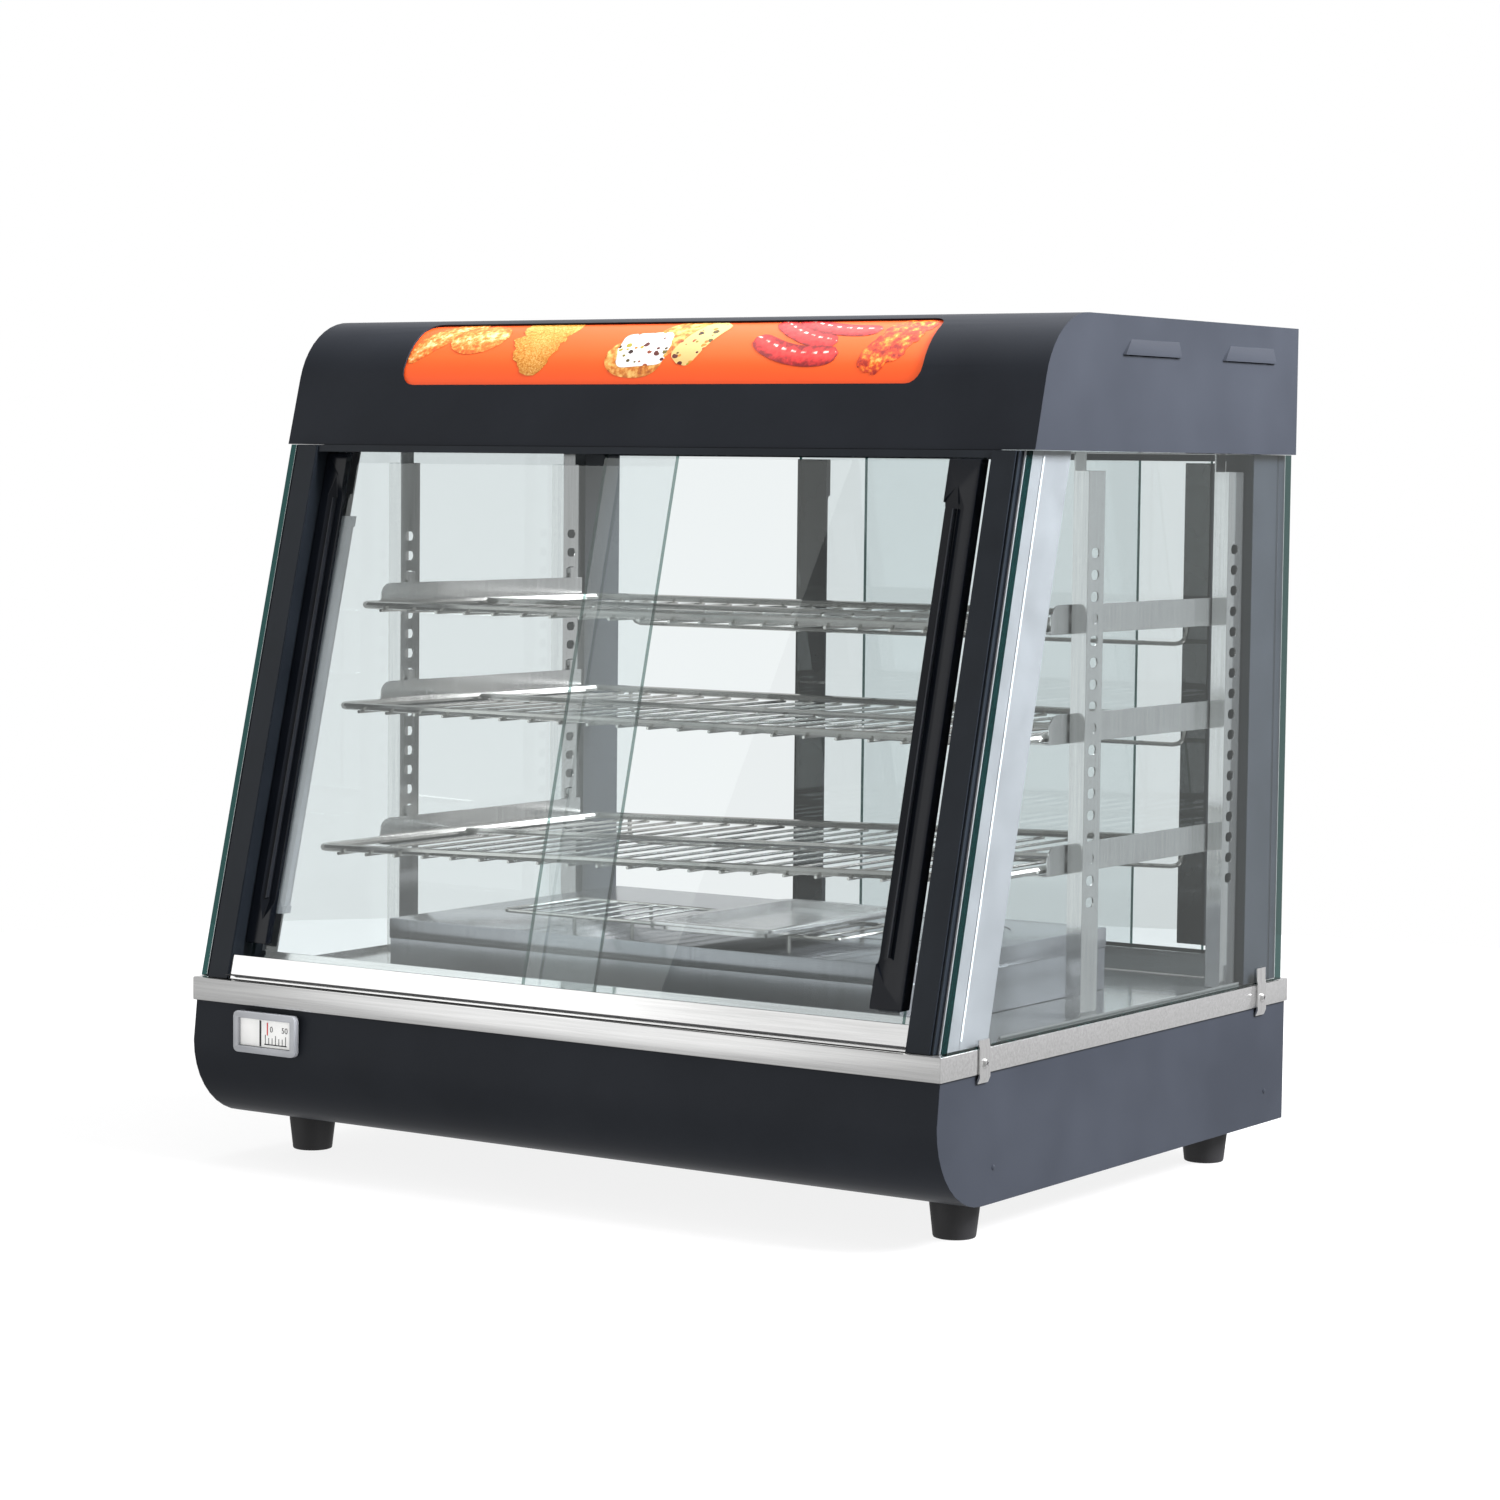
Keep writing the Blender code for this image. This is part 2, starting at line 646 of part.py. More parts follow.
def make_heater():
    inset = 0.8
    body = box("heater_box", HEATER_X, HEATER_DEPTH, (HEATER_SEAM, HEATER_TOP), "stainless")
    add_bevel(body, 0.8)
    skirt = box("heater_skirt", (HEATER_X[0] + inset, HEATER_X[1] - inset),
                (HEATER_DEPTH[0] + inset, HEATER_DEPTH[1] - inset), (STAND, HEATER_SEAM + 1))
    room = box("heater_room", (HEATER_X[0] + inset + SHEET, HEATER_X[1] - inset - SHEET),
               (HEATER_DEPTH[0] + inset + SHEET, HEATER_DEPTH[1] - inset - SHEET),
               (STAND - 10, HEATER_TOP - SHEET - 0.7))
    ring_centre = point(*RING_CENTRE, HEATER_TOP)
    groove = cylinder("ring_groove", RING_R, 1.0, ring_centre, (0, 0, 1), sides=40)
    island = cylinder("ring_island", RING_R - 5, 3.0, ring_centre, (0, 0, 1), sides=40)
    cut(groove, island)
    fuse(body, skirt)
    cut(body, room, groove)
    z = 158.0
    x0, x1 = HEATER_X[0] + 35, HEATER_X[1] - 35
    d0, d1 = HEATER_DEPTH[0] + 40, HEATER_DEPTH[1] - 12
    rows = [d0 + 40 * i for i in range(4)]
    path = [(x1 - 30, d1, z), (x1, d1 - 30, z)]
    for i, row in enumerate(reversed(rows)):
        ends = (x1, x0) if i % 2 == 0 else (x0, x1)
        chamfer = 8 if ends[0] < ends[1] else -8
        path += [(ends[0], row + 8, z), (ends[0] + chamfer, row, z)]
        path += [(ends[1] - chamfer, row, z), (ends[1], row - 8, z)]
    link("heating_element", wire("heating_element", path, 4.0), "element")


def make_rack_and_tray():
    r = RACK_WIRE_R
    z = RACK_TOP - r
    x0, x1 = RACK_X
    d0, d1 = RACK_DEPTH
    outline = rounded_rect((x0 + r, d0 + r), (x1 - r, d1 - r), 6, 3)
    rack = link("heater_rack", wire("heater_rack", [(x, d, z) for x, d in outline], r, True), "chrome")
    wires = []
    count = 15
    for i in range(count):
        x = x0 + (x1 - x0) * (i + 1) / (count + 1)
        wires.append(wire(f"rack_wire_{i}", [(x, d0 + r, z + 0.3), (x, d1 - r, z + 0.3)], 1.0, detail=1))
    fuse(rack, link("rack_wires", join_meshes("rack_wires", wires)))
    legs = []
    bottom = HEATER_TOP + 0.3
    for x in (-38.0, 14.0, 150.0):
        for depth in (d0 + r, d1 - r):
            legs.append(wire("rack_leg", [(x, depth, z), (x, depth, bottom)], r, detail=2))
    fuse(rack, link("rack_legs", join_meshes("rack_legs", legs)))
    put_on_joint("heater_rack_lift", point((x0 + x1) / 2, (d0 + d1) / 2, HEATER_TOP), rack)

    floor = RACK_TOP + 0.4
    rim = prism("tray", rounded_rect((TRAY_X[0], TRAY_DEPTH[0]), (TRAY_X[1], TRAY_DEPTH[1]), 12, 5),
                (TRAY_TOP - 2.6, TRAY_TOP), "x_depth", "stainless")
    add_bevel(rim, 1.0, 2, 50)
    low = (TRAY_X[0] + 7, TRAY_DEPTH[0] + 7)
    high = (TRAY_X[1] - 7, TRAY_DEPTH[1] - 7)
    body = prism("tray_body", rounded_rect(low, high, 10, 5), (floor, TRAY_TOP - 1), "x_depth")
    inner_low = (low[0] + 1, low[1] + 1)
    inner_high = (high[0] - 1, high[1] - 1)
    hollow = prism("tray_hollow", rounded_rect(inner_low, inner_high, 9, 5),
                   (floor + 1, TRAY_TOP + 5), "x_depth")
    fuse(rim, body)
    cut(rim, hollow)
    put_on_joint("tray_lift", point(sum(TRAY_X) / 2, sum(TRAY_DEPTH) / 2, floor), rim)


def canopy_profile(inset, bottom):
    """Sloped front, round shoulder, flat top and rear of the canopy, moved inwards by inset."""
    lean = CANOPY_LEAN
    radius = CANOPY_RADIUS - inset
    tangent = CANOPY_RADIUS * math.tan((math.pi / 2 - lean) / 2)
    corner = CANOPY_FRONT + (CANOPY_TOP - CANOPY_BOTTOM) * math.tan(lean)
    centre = (corner + tangent, CANOPY_TOP - CANOPY_RADIUS)
    front = CANOPY_FRONT + inset / math.cos(lean) + (bottom - CANOPY_BOTTOM) * math.tan(lean)
    shoulder = arc(centre, radius, 180 - math.degrees(lean), 90, 10)
    rear, top = CANOPY_REAR - inset, CANOPY_TOP - inset
    return [(rear, bottom), (front, bottom)] + shoulder + [(rear, top)]


def canopy_skin_point(angle_deg, inset):
    """A point on the canopy's shoulder arc, moved inwards by inset."""
    tangent = CANOPY_RADIUS * math.tan((math.pi / 2 - CANOPY_LEAN) / 2)
    corner = CANOPY_FRONT + (CANOPY_TOP - CANOPY_BOTTOM) * math.tan(CANOPY_LEAN)
    centre = (corner + tangent, CANOPY_TOP - CANOPY_RADIUS)
    return arc(centre, CANOPY_RADIUS - inset, angle_deg, angle_deg, 1)[0]


def make_canopy():
    shell = prism("canopy_shell", canopy_profile(0, CANOPY_BOTTOM), (-CANOPY_HALF, CANOPY_HALF), "depth_z",
                  "black_paint")
    inside = CANOPY_HALF - SHEET
    room = prism("canopy_room", canopy_profile(SHEET, CANOPY_BOTTOM - 20), (-inside, inside), "depth_z")
    low = Vector((CANOPY_FRONT + (SIGN_LOW - CANOPY_BOTTOM) * math.tan(CANOPY_LEAN), SIGN_LOW))
    high = Vector((SIGN_HIGH_DEPTH, CANOPY_TOP - 3.5))
    chord = high - low
    window = prism("sign_window", rounded_rect((-SIGN_HALF, 0), (SIGN_HALF, chord.length), 12, 5),
                   (-40, 40),
                   "x_depth")
    turn = math.atan2(chord.y, chord.x)
    pivot = point(0, low.x, low.y)
    recentre = Matrix.Translation((0, CENTRE_DEPTH * MM, 0))
    window.data.transform(Matrix.Translation(pivot) @ Matrix.Rotation(turn, 4, "X") @ recentre)
    for side_name, side in SIDES.items():
        for number, (d0, d1) in enumerate(LOUVRE_DEPTHS):
            name = f"louvre_{side_name}_{number}"
            root, rise, lip = (side * (CANOPY_HALF + out) for out in (-0.8, 0.3, 2.1))
            low, top = LOUVRE_Z
            corners = [(root, d0, low), (root, d1, low), (root, d0 + 13, top), (root, d1 - 3, top),
                       (lip, d0 + 2, low), (lip, d1 - 2, low), (lip, d0 + 3, low + 1.5),
                       (lip, d1 - 2, low + 1.5), (rise, d0 + 13, top - 1), (rise, d1 - 3, top - 1)]
            bump = hull(name, corners)
            mouth = box(name + "_mouth", spans(side, CANOPY_HALF - 3, CANOPY_HALF + 1.0), (d0 + 10, d1 - 6),
                        (low - 0.5, low + 3))
            fuse(shell, bump)
            cut(shell, mouth)
    cut(shell, room, window)
    box("ceiling_panel", (-inside + GAP, inside - GAP), (150.0, CANOPY_REAR - SHEET - 1),
        (CANOPY_BOTTOM + 0.3, CANOPY_BOTTOM + 1.5), "stainless")

    steps = 9
    outer_inset, inner_inset = SHEET + GAP, SHEET + GAP + 2.5
    first, last = 180 - math.degrees(CANOPY_LEAN), 96.0
    lean_step = 12.0
    outer = [canopy_skin_point(first + (last - first) * i / steps, outer_inset) for i in range(steps + 1)]
    inner = [canopy_skin_point(first + (last - first) * i / steps, inner_inset) for i in range(steps + 1)]
    drop = Vector((-math.tan(CANOPY_LEAN), -1.0)) * lean_step
    outer.insert(0, tuple(Vector(outer[0]) + drop))
    inner.insert(0, tuple(Vector(inner[0]) + drop))
    prism("sign_panel", outer + inner[::-1], (-SIGN_HALF - 8, SIGN_HALF + 8), "depth_z", "sign")

    tube = cylinder("sign_lamp", 7.5, 400, point(0, 215, 590), (1, 0, 0), "lamp", sides=16)
    for side_name, side in SIDES.items():
        holder = box(f"lamp_holder_{side_name}", spans(side, 190, 206), (205, 225),
                     (CANOPY_BOTTOM + 1.9, 600))
        fuse(tube, holder)


def handle_bar(name, xs, faces, rear, zs, outer_side, slope=0.0):
    """A grip along a pane's edge: front bar, lip round the pane's edge, and a pointed finger groove.

    xs are the grip's limits, faces its front and the side that lies on the pane, rear where the lip
    ends, and outer_side (+1 or -1) the side with the lip and the flat rim.
    """
    inner, outer = (xs[0], xs[1]) if outer_side > 0 else (xs[1], xs[0])
    front, seat = faces
    lip = outer - outer_side * LIP
    outline = [(inner, front), (outer, front), (outer, rear), (lip, rear), (lip, seat), (inner, seat)]
    bar = prism(name, outline, zs, "x_depth", "black_plastic", slope)
    towards = 1 if seat > front else -1
    low, high, taper = zs[0] + GROOVE_END, zs[1] - GROOVE_END, GROOVE_TAPER
    edge, rim = inner - outer_side * 2.0, outer - outer_side * GROOVE_RIM
    apex = (inner * 0.45 + rim * 0.55)
    valley = front + towards * GROOVE_DEEP
    above = front - towards * 0.6
    side_valley = valley - towards * 1.2
    corners = [(apex, above, low), (apex, above, high)]
    for z in (low + taper, high - taper):
        corners += [(edge, above, z), (rim, above, z), (apex, valley, z), (edge, side_valley, z)]
    cut(bar, hull(name + "_groove", corners, None, slope))
    return bar


def make_front_doors():
    handle_z = (165.0, HEADER_BOTTOM - 1.0)
    for name, left, lane, outer_side, width in (
            ("front_left", LEFT_DOOR_EDGE, INNER_LANE, -1, HANDLE_WIDTHS[0]),
            ("front_right", RIGHT_DOOR_EDGE, OUTER_LANE, 1, HANDLE_WIDTHS[1])):
        right = left + DOOR_WIDTH
        gap = LIP + GAP
        pane = (left, right - gap) if outer_side > 0 else (left + gap, right)
        glass = prism(name + "_glass", [(pane[0], lane), (pane[1], lane), (pane[1], lane + DOOR_GLASS),
                                        (pane[0], lane + DOOR_GLASS)], (PANE_BOTTOM, PANE_TOP), "x_depth",
                      "glass", SLOPE)
        xs = (right - width, right) if outer_side > 0 else (left, left + width)
        faces = (lane - 0.3 - HANDLE_THICK, lane - 0.3)
        handle = handle_bar(name + "_handle", xs, faces, lane + DOOR_GLASS, handle_z, outer_side, SLOPE)
        put_on_joint(name + "_door_slide", point((left + right) / 2, lane, DECK_TOP), glass, handle)


def make_rear_doors():
    handle_z = (161.0, HEADER_BOTTOM - 1.5)
    for name, left, lane, outer_side in (("rear_left", REAR_LEFT_EDGE, REAR_INNER_LANE, -1),
                                         ("rear_right", REAR_RIGHT_EDGE, REAR_OUTER_LANE, 1)):
        right = left + REAR_DOOR_WIDTH
        gap = LIP + GAP
        pane = (left, right - gap) if outer_side > 0 else (left + gap, right)
        glass = box(name + "_glass", pane, (lane, lane + DOOR_GLASS), (PANE_BOTTOM, PANE_TOP), "glass")
        xs = (right - REAR_HANDLE_WIDTH, right) if outer_side > 0 else (left, left + REAR_HANDLE_WIDTH)
        seat = lane + DOOR_GLASS + 0.3
        handle = handle_bar(name + "_handle", xs, (seat + 6.0, seat), lane, handle_z, outer_side)
        put_on_joint(name + "_door_slide", point((left + right) / 2, lane, DECK_TOP), glass, handle)


def make_led_lamp():
    """Slim lamp tube beside the left front post, with a slightly fatter cap at each end."""
    lane, post_side = 33.0, -298.6
    outline = [(post_side, lane), (-285.0, lane), (-281.6, lane + 2.5), (-280.4, lane + 6.0),
               (-281.6, lane + 9.5), (-285.0, lane + 12.0), (post_side, lane + 12.0)]
    lamp = prism("led_lamp", outline, (188.0, 485.0), "x_depth", "lamp", SLOPE)
    cap = [(post_side - 0.3, lane - 0.4), (-284.5, lane - 0.4), (-279.8, lane + 3.0),
           (-279.8, lane + 9.0), (-284.5, lane + 12.4), (post_side - 0.3, lane + 12.4)]
    for number, zs in enumerate(((186.0, 191.5), (478.5, 486.5))):
        fuse(lamp, prism(f"led_cap_{number}", cap, zs, "x_depth", slope=SLOPE))


def make_controls():
    face = REAR_PANEL_DEPTH + SHEET
    length = REAR_LIMIT - face - 0.7
    middle = point(KNOB_X, face + 0.7 + length / 2, CONTROL_Z)
    knob = cylinder("thermostat_knob", 17.0, length, middle, (0, 1, 0), "black_plastic",
                    radius_top=14.5, sides=32)
    grip_depths, grip_zs = (face + 6, REAR_LIMIT + 2), (CONTROL_Z - 30, CONTROL_Z + 30)
    grip = box("knob_grip", (KNOB_X - 25, KNOB_X - 4), grip_depths, grip_zs)
    grip_two = box("knob_grip_two", (KNOB_X + 4, KNOB_X + 25), grip_depths, grip_zs)
    shaft = cylinder("knob_shaft", 3.0, 18, point(KNOB_X, face - 5, CONTROL_Z), (0, 1, 0), sides=16)
    cut(knob, grip, grip_two)
    fuse(knob, shaft)
    put_on_joint("thermostat_turn", point(KNOB_X, face, CONTROL_Z), knob)
    for (name, x), kind in zip(ROCKER_X.items(), ("red_plastic", "black_plastic")):
        pivot = point(x, face + 1.0, CONTROL_Z)
        rocker = box(name, (x - 6.0, x + 6.0), (face - 6, face + 4.0), (CONTROL_Z - 9, CONTROL_Z + 9),
                     kind, 0.8)
        tilt = Matrix.Rotation(math.radians(-7), 4, "X")
        turn = Matrix.Translation(pivot) @ tilt @ Matrix.Translation(-pivot)
        bpy.context.view_layer.update()
        rocker.matrix_world = turn @ rocker.matrix_world
        put_on_joint(name + "_turn", pivot, rocker)
    gland = cylinder("cord_gland", 11.0, 6, point(GLAND_X, face + GAP + 3, CONTROL_Z), (0, 1, 0),
                     "black_plastic",
                     sides=6)
    dome = cylinder("gland_dome", 9.0, 8.5, point(GLAND_X, face + GAP + 9.5, CONTROL_Z), (0, 1, 0),
                    radius_top=7.0, sides=20)
    stem = cylinder("gland_stem", 6.2, 14, point(GLAND_X, face - 4, CONTROL_Z), (0, 1, 0), sides=16)
    bore = cylinder("gland_bore", 3.8, 60, point(GLAND_X, face, CONTROL_Z), (0, 1, 0), sides=16)
    fuse(gland, dome, stem)
    cut(gland, bore)


clear_scene()
PARTS = new_collection("food_display_case")
CUTTERS = new_collection("cutters")
make_base()
make_thermometer()
make_deck()
make_tracks()
make_posts()
make_side_glass()
make_standards()
make_brackets()
make_shelves()
make_heater()
make_rack_and_tray()
make_canopy()
make_front_doors()
make_rear_doors()
make_led_lamp()
make_controls()
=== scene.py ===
"""Looks of a heated food display case: materials, printed sign, dial, small fittings and studio."""
import math

import bmesh
import bpy
from mathutils import Matrix, Vector


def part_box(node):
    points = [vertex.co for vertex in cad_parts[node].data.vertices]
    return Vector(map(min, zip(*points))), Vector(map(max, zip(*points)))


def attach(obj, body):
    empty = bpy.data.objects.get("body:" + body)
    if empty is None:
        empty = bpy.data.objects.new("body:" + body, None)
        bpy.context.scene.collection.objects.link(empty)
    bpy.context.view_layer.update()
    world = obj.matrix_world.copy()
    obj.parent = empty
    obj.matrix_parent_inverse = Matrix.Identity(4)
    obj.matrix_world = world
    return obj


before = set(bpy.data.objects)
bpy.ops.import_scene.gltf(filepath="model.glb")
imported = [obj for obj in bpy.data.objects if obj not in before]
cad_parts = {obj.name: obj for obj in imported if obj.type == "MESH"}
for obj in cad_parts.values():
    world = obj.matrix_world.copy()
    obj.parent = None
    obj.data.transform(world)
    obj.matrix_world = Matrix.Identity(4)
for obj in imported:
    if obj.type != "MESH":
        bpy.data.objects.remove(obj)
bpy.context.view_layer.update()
MM = 0.001

# The sloped front leans back by SLOPE for each metre of height above the deck.
SLOPE = 0.255
DECK_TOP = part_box("deck_trim")[1].z
CANOPY_LOW, CANOPY_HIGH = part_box("canopy_shell")

# Sockets of a colour Mix node.
MIX_FACTOR, MIX_FIRST, MIX_SECOND, MIX_RESULT = 0, 6, 7, 2

# ---------------------------------------------------------------- camera and studio
CAMERA_AZIMUTH = math.radians(33.87)
CAMERA_ELEVATION = math.radians(4.17)
CAMERA_ROLL = math.radians(0.64)
CAMERA_DISTANCE = 2.9407
CAMERA_TARGET = Vector((0.0141, -0.0213, 0.3147))
CAMERA_LENS = 93.5
CAMERA_REACH = 50

FLOOR_RADIUS = 1.6
FLOOR_SIDES = 96
FLOOR_DROP = 0.5 * MM

# The surroundings are brightest towards BRIGHT_SIDE; each stop is (share towards it, grey).
BRIGHT_SIDE = (-0.556, -0.828, 0.0)
SURROUNDINGS = ((0.0, 0.52), (0.12, 0.60), (0.27, 1.0), (0.38, 0.9), (0.5, 0.5), (0.8, 0.42),
                (0.955, 0.72), (0.988, 1.35))
SURROUNDINGS_BLUE = 1.01

NEUTRAL = (1.0, 1.0, 1.0)
COOL = (0.97, 0.96, 1.0)
SOFTBOXES = (
    # name, place, aimed at, size, watts, colour, mirrored by shiny surfaces
    ("right_rear_softbox", (2.4, 2.2, 2.0), (0.33, 0.0, 0.45), (2.4, 1.6), 90, COOL, True),
    ("top_softbox", (0.0, 0.0, 2.6), (0.0, 0.0, 0.3), (3.0, 3.0), 45, NEUTRAL, True),
    ("right_fill", (2.3, 0.5, 1.9), (0.33, 0.0, 0.6), (1.6, 1.2), 560, COOL, False),
    ("front_left_softbox", (-2.6, -2.6, 1.6), (0.0, 0.0, 0.4), (1.6, 1.4), 6, NEUTRAL, True),
)


def link(obj):
    bpy.context.scene.collection.objects.link(obj)
    return obj


def set_stops(ramp, stops):
    """Fills a colour ramp node with (place, colour) stops."""
    elements = ramp.color_ramp.elements
    while len(elements) < len(stops):
        elements.new(0.5)
    for element, (place, colour) in zip(elements, stops):
        element.position = place
        element.color = (*colour, 1)


def add_camera():
    cos_elevation = math.cos(CAMERA_ELEVATION)
    back = Vector((math.sin(CAMERA_AZIMUTH) * cos_elevation, -math.cos(CAMERA_AZIMUTH) * cos_elevation,
                   math.sin(CAMERA_ELEVATION)))
    right = Vector((math.cos(CAMERA_AZIMUTH), math.sin(CAMERA_AZIMUTH), 0))
    up = back.cross(right)
    cos_roll, sin_roll = math.cos(CAMERA_ROLL), math.sin(CAMERA_ROLL)
    rolled_right = right * cos_roll + up * sin_roll
    rolled_up = up * cos_roll - right * sin_roll
    data = bpy.data.cameras.new("camera")
    data.lens = CAMERA_LENS
    data.clip_end = CAMERA_REACH
    camera = link(bpy.data.objects.new("camera", data))
    turn = Matrix((rolled_right, rolled_up, back)).transposed().to_4x4()
    camera.matrix_world = Matrix.Translation(CAMERA_TARGET + back * CAMERA_DISTANCE) @ turn
    bpy.context.scene.camera = camera


def add_softbox(name, place, target, size, watts, colour, mirrored):
    data = bpy.data.lights.new(name, "AREA")
    data.shape = "RECTANGLE"
    data.size, data.size_y = size
    data.energy = watts
    data.color = colour
    light = link(bpy.data.objects.new(name, data))
    light.location = place
    light.rotation_euler = (Vector(target) - Vector(place)).to_track_quat("-Z", "Y").to_euler()
    light.visible_camera = False
    light.visible_glossy = mirrored


def add_world():
    """White behind the object; what the steel mirrors is bright at the front left, dim elsewhere."""
    world = bpy.data.worlds.new("studio")
    world.use_nodes = True
    tree = world.node_tree
    background = tree.nodes["Background"]
    where = tree.nodes.new("ShaderNodeTexCoord")
    towards = tree.nodes.new("ShaderNodeVectorMath")
    towards.operation = "DOT_PRODUCT"
    towards.inputs[1].default_value = BRIGHT_SIDE
    ramp = tree.nodes.new("ShaderNodeValToRGB")
    set_stops(ramp, [(place, (grey, grey, grey * SURROUNDINGS_BLUE)) for place, grey in SURROUNDINGS])
    share = tree.nodes.new("ShaderNodeMath")
    share.operation = "MULTIPLY_ADD"
    share.inputs[1].default_value = 0.5
    share.inputs[2].default_value = 0.5
    seen = tree.nodes.new("ShaderNodeLightPath")
    pick = tree.nodes.new("ShaderNodeMix")
    pick.data_type = "RGBA"
    pick.inputs[MIX_SECOND].default_value = (1, 1, 1, 1)
    tree.links.new(where.outputs["Generated"], towards.inputs[0])
    tree.links.new(towards.outputs["Value"], share.inputs[0])
    tree.links.new(share.outputs["Value"], ramp.inputs["Fac"])
    tree.links.new(ramp.outputs["Color"], pick.inputs[MIX_FIRST])
    tree.links.new(seen.outputs["Is Camera Ray"], pick.inputs[MIX_FACTOR])
    tree.links.new(pick.outputs[MIX_RESULT], background.inputs["Color"])
    bpy.context.scene.world = world


def add_floor():
    mesh = bpy.data.meshes.new("floor")
    bm = bmesh.new()
    bmesh.ops.create_circle(bm, cap_ends=True, segments=FLOOR_SIDES, radius=FLOOR_RADIUS)
    bm.to_mesh(mesh)
    bm.free()
    floor = link(bpy.data.objects.new("floor", mesh))
    floor.location.z = -FLOOR_DROP
    mesh.materials.append(floor_material())
    floor.visible_glossy = False


def add_studio():
    bpy.context.scene.view_settings.view_transform = "Standard"
    add_world()
    add_floor()
    for softbox in SOFTBOXES:
        add_softbox(*softbox)


# ---------------------------------------------------------------- material helpers
class Nodes:
    """Small helper that builds and wires a material's nodes."""

    def __init__(self, name):
        self.material = bpy.data.materials.new(name)
        self.material.use_nodes = True
        self.tree = self.material.node_tree
        self.shader = self.tree.nodes["Principled BSDF"]
        self.output = self.tree.nodes["Material Output"]

    def add(self, kind, **settings):
        node = self.tree.nodes.new(kind)
        for key, value in settings.items():
            setattr(node, key, value)
        return node

    def wire(self, source, target):
        self.tree.links.new(source, target)

    def put(self, **values):
        """Sets constants on the shader's own sockets."""
        for key, value in values.items():
            self.shader.inputs[key.replace("_", " ")].default_value = value

    def paint(self, colour):
        self.wire(colour, self.shader.inputs["Base Color"])

    def roughen(self, roughness):
        self.wire(roughness, self.shader.inputs["Roughness"])

    def coordinates(self, scale=(1, 1, 1)):
        source = self.add("ShaderNodeTexCoord")
        mapping = self.add("ShaderNodeMapping")
        mapping.inputs["Scale"].default_value = scale
        self.wire(source.outputs["Object"], mapping.inputs["Vector"])
        return mapping.outputs["Vector"]

    def split(self, place):
        """The x, y and z of one of the Texture Coordinate node's places."""
        source = self.add("ShaderNodeTexCoord")
        parts = self.add("ShaderNodeSeparateXYZ")
        self.wire(source.outputs[place], parts.inputs["Vector"])
        return parts.outputs

    def noise(self, vector, scale, detail=3.0, roughness=0.5):
        node = self.add("ShaderNodeTexNoise")
        node.inputs["Scale"].default_value = scale
        node.inputs["Detail"].default_value = detail
        node.inputs["Roughness"].default_value = roughness
        self.wire(vector, node.inputs["Vector"])
        return node.outputs["Fac"]

    def ramp(self, factor, stops):
        node = self.add("ShaderNodeValToRGB")
        set_stops(node, stops)
        self.wire(factor, node.inputs["Fac"])
        return node.outputs["Color"]

    def span(self, factor, low, high, source=(0, 1)):
        """The factor's source range mapped on to low to high."""
        node = self.add("ShaderNodeMapRange")
        node.inputs["From Min"].default_value, node.inputs["From Max"].default_value = source
        node.inputs["To Min"].default_value, node.inputs["To Max"].default_value = low, high
        self.wire(factor, node.inputs["Value"])
        return node.outputs["Result"]

    def feed(self, socket, value):
        """A number or a colour is set on the socket; anything else is wired to it."""
        if isinstance(value, (int, float)):
            socket.default_value = value
        elif isinstance(value, tuple):
            socket.default_value = (*value, 1)
        else:
            self.wire(value, socket)

    def math(self, operation, first, second=0.0):
        node = self.add("ShaderNodeMath", operation=operation)
        self.feed(node.inputs[0], first)
        self.feed(node.inputs[1], second)
        return node.outputs["Value"]

    def mix(self, factor, first, second):
        node = self.add("ShaderNodeMix", data_type="RGBA")
        self.feed(node.inputs[MIX_FACTOR], factor)
        self.feed(node.inputs[MIX_FIRST], first)
        self.feed(node.inputs[MIX_SECOND], second)
        return node.outputs[MIX_RESULT]

    def bump(self, height, strength, distance):
        node = self.add("ShaderNodeBump")
        node.inputs["Strength"].default_value = strength
        node.inputs["Distance"].default_value = distance
        self.wire(height, node.inputs["Height"])
        self.wire(node.outputs["Normal"], self.shader.inputs["Normal"])


def scaled(colour, factor, lift=0.0):
    return tuple(channel * factor + lift for channel in colour)


# ---------------------------------------------------------------- materials of the case
FLOOR_GREYS = ((0.3, (0.10, 0.10, 0.10)), (0.7, (0.11, 0.11, 0.11)))
FLOOR_GLOW = 0.86

SHEET_GREY = (0.66, 0.66, 0.65)
BRUSHED_ACROSS = (10, 500, 500)
BRUSHED_UP = (500, 500, 10)
PEEL_DEPTH = 0.2 * MM
SHEET_WAVE_DEPTH = 1.2 * MM

GLASS_TINT = (0.905, 0.925, 0.928)
GLASS_GLOSS = (0.95, 1.0, 0.98, 1)
GLASS_SHINE = 1.3
GLASS_IOR = 1.5
EDGE_SHINE = 0.15
GREEN_EDGE = (0.02, 0.075, 0.07)
PALE_EDGE = (0.24, 0.33, 0.31)

LAMP_GREYS = ((0.3, (0.34, 0.35, 0.37)), (0.7, (0.44, 0.45, 0.47)))
# Sign orange by height, with painted light: a painted highlight across the middle, painted shade at the foot
# and top.
SIGN_ORANGES_PAINTED_LIGHT = ((0.1, (0.86, 0.085, 0.014)), (0.55, (0.88, 0.12, 0.02)), (1.0, (0.80, 0.09, 0.02)))


def floor_material():
    n = Nodes("studio_floor")
    n.paint(n.ramp(n.noise(n.coordinates(), 30), FLOOR_GREYS))
    n.put(Roughness=0.9, Emission_Color=(1, 1, 1, 1), Emission_Strength=FLOOR_GLOW)
    return n.material


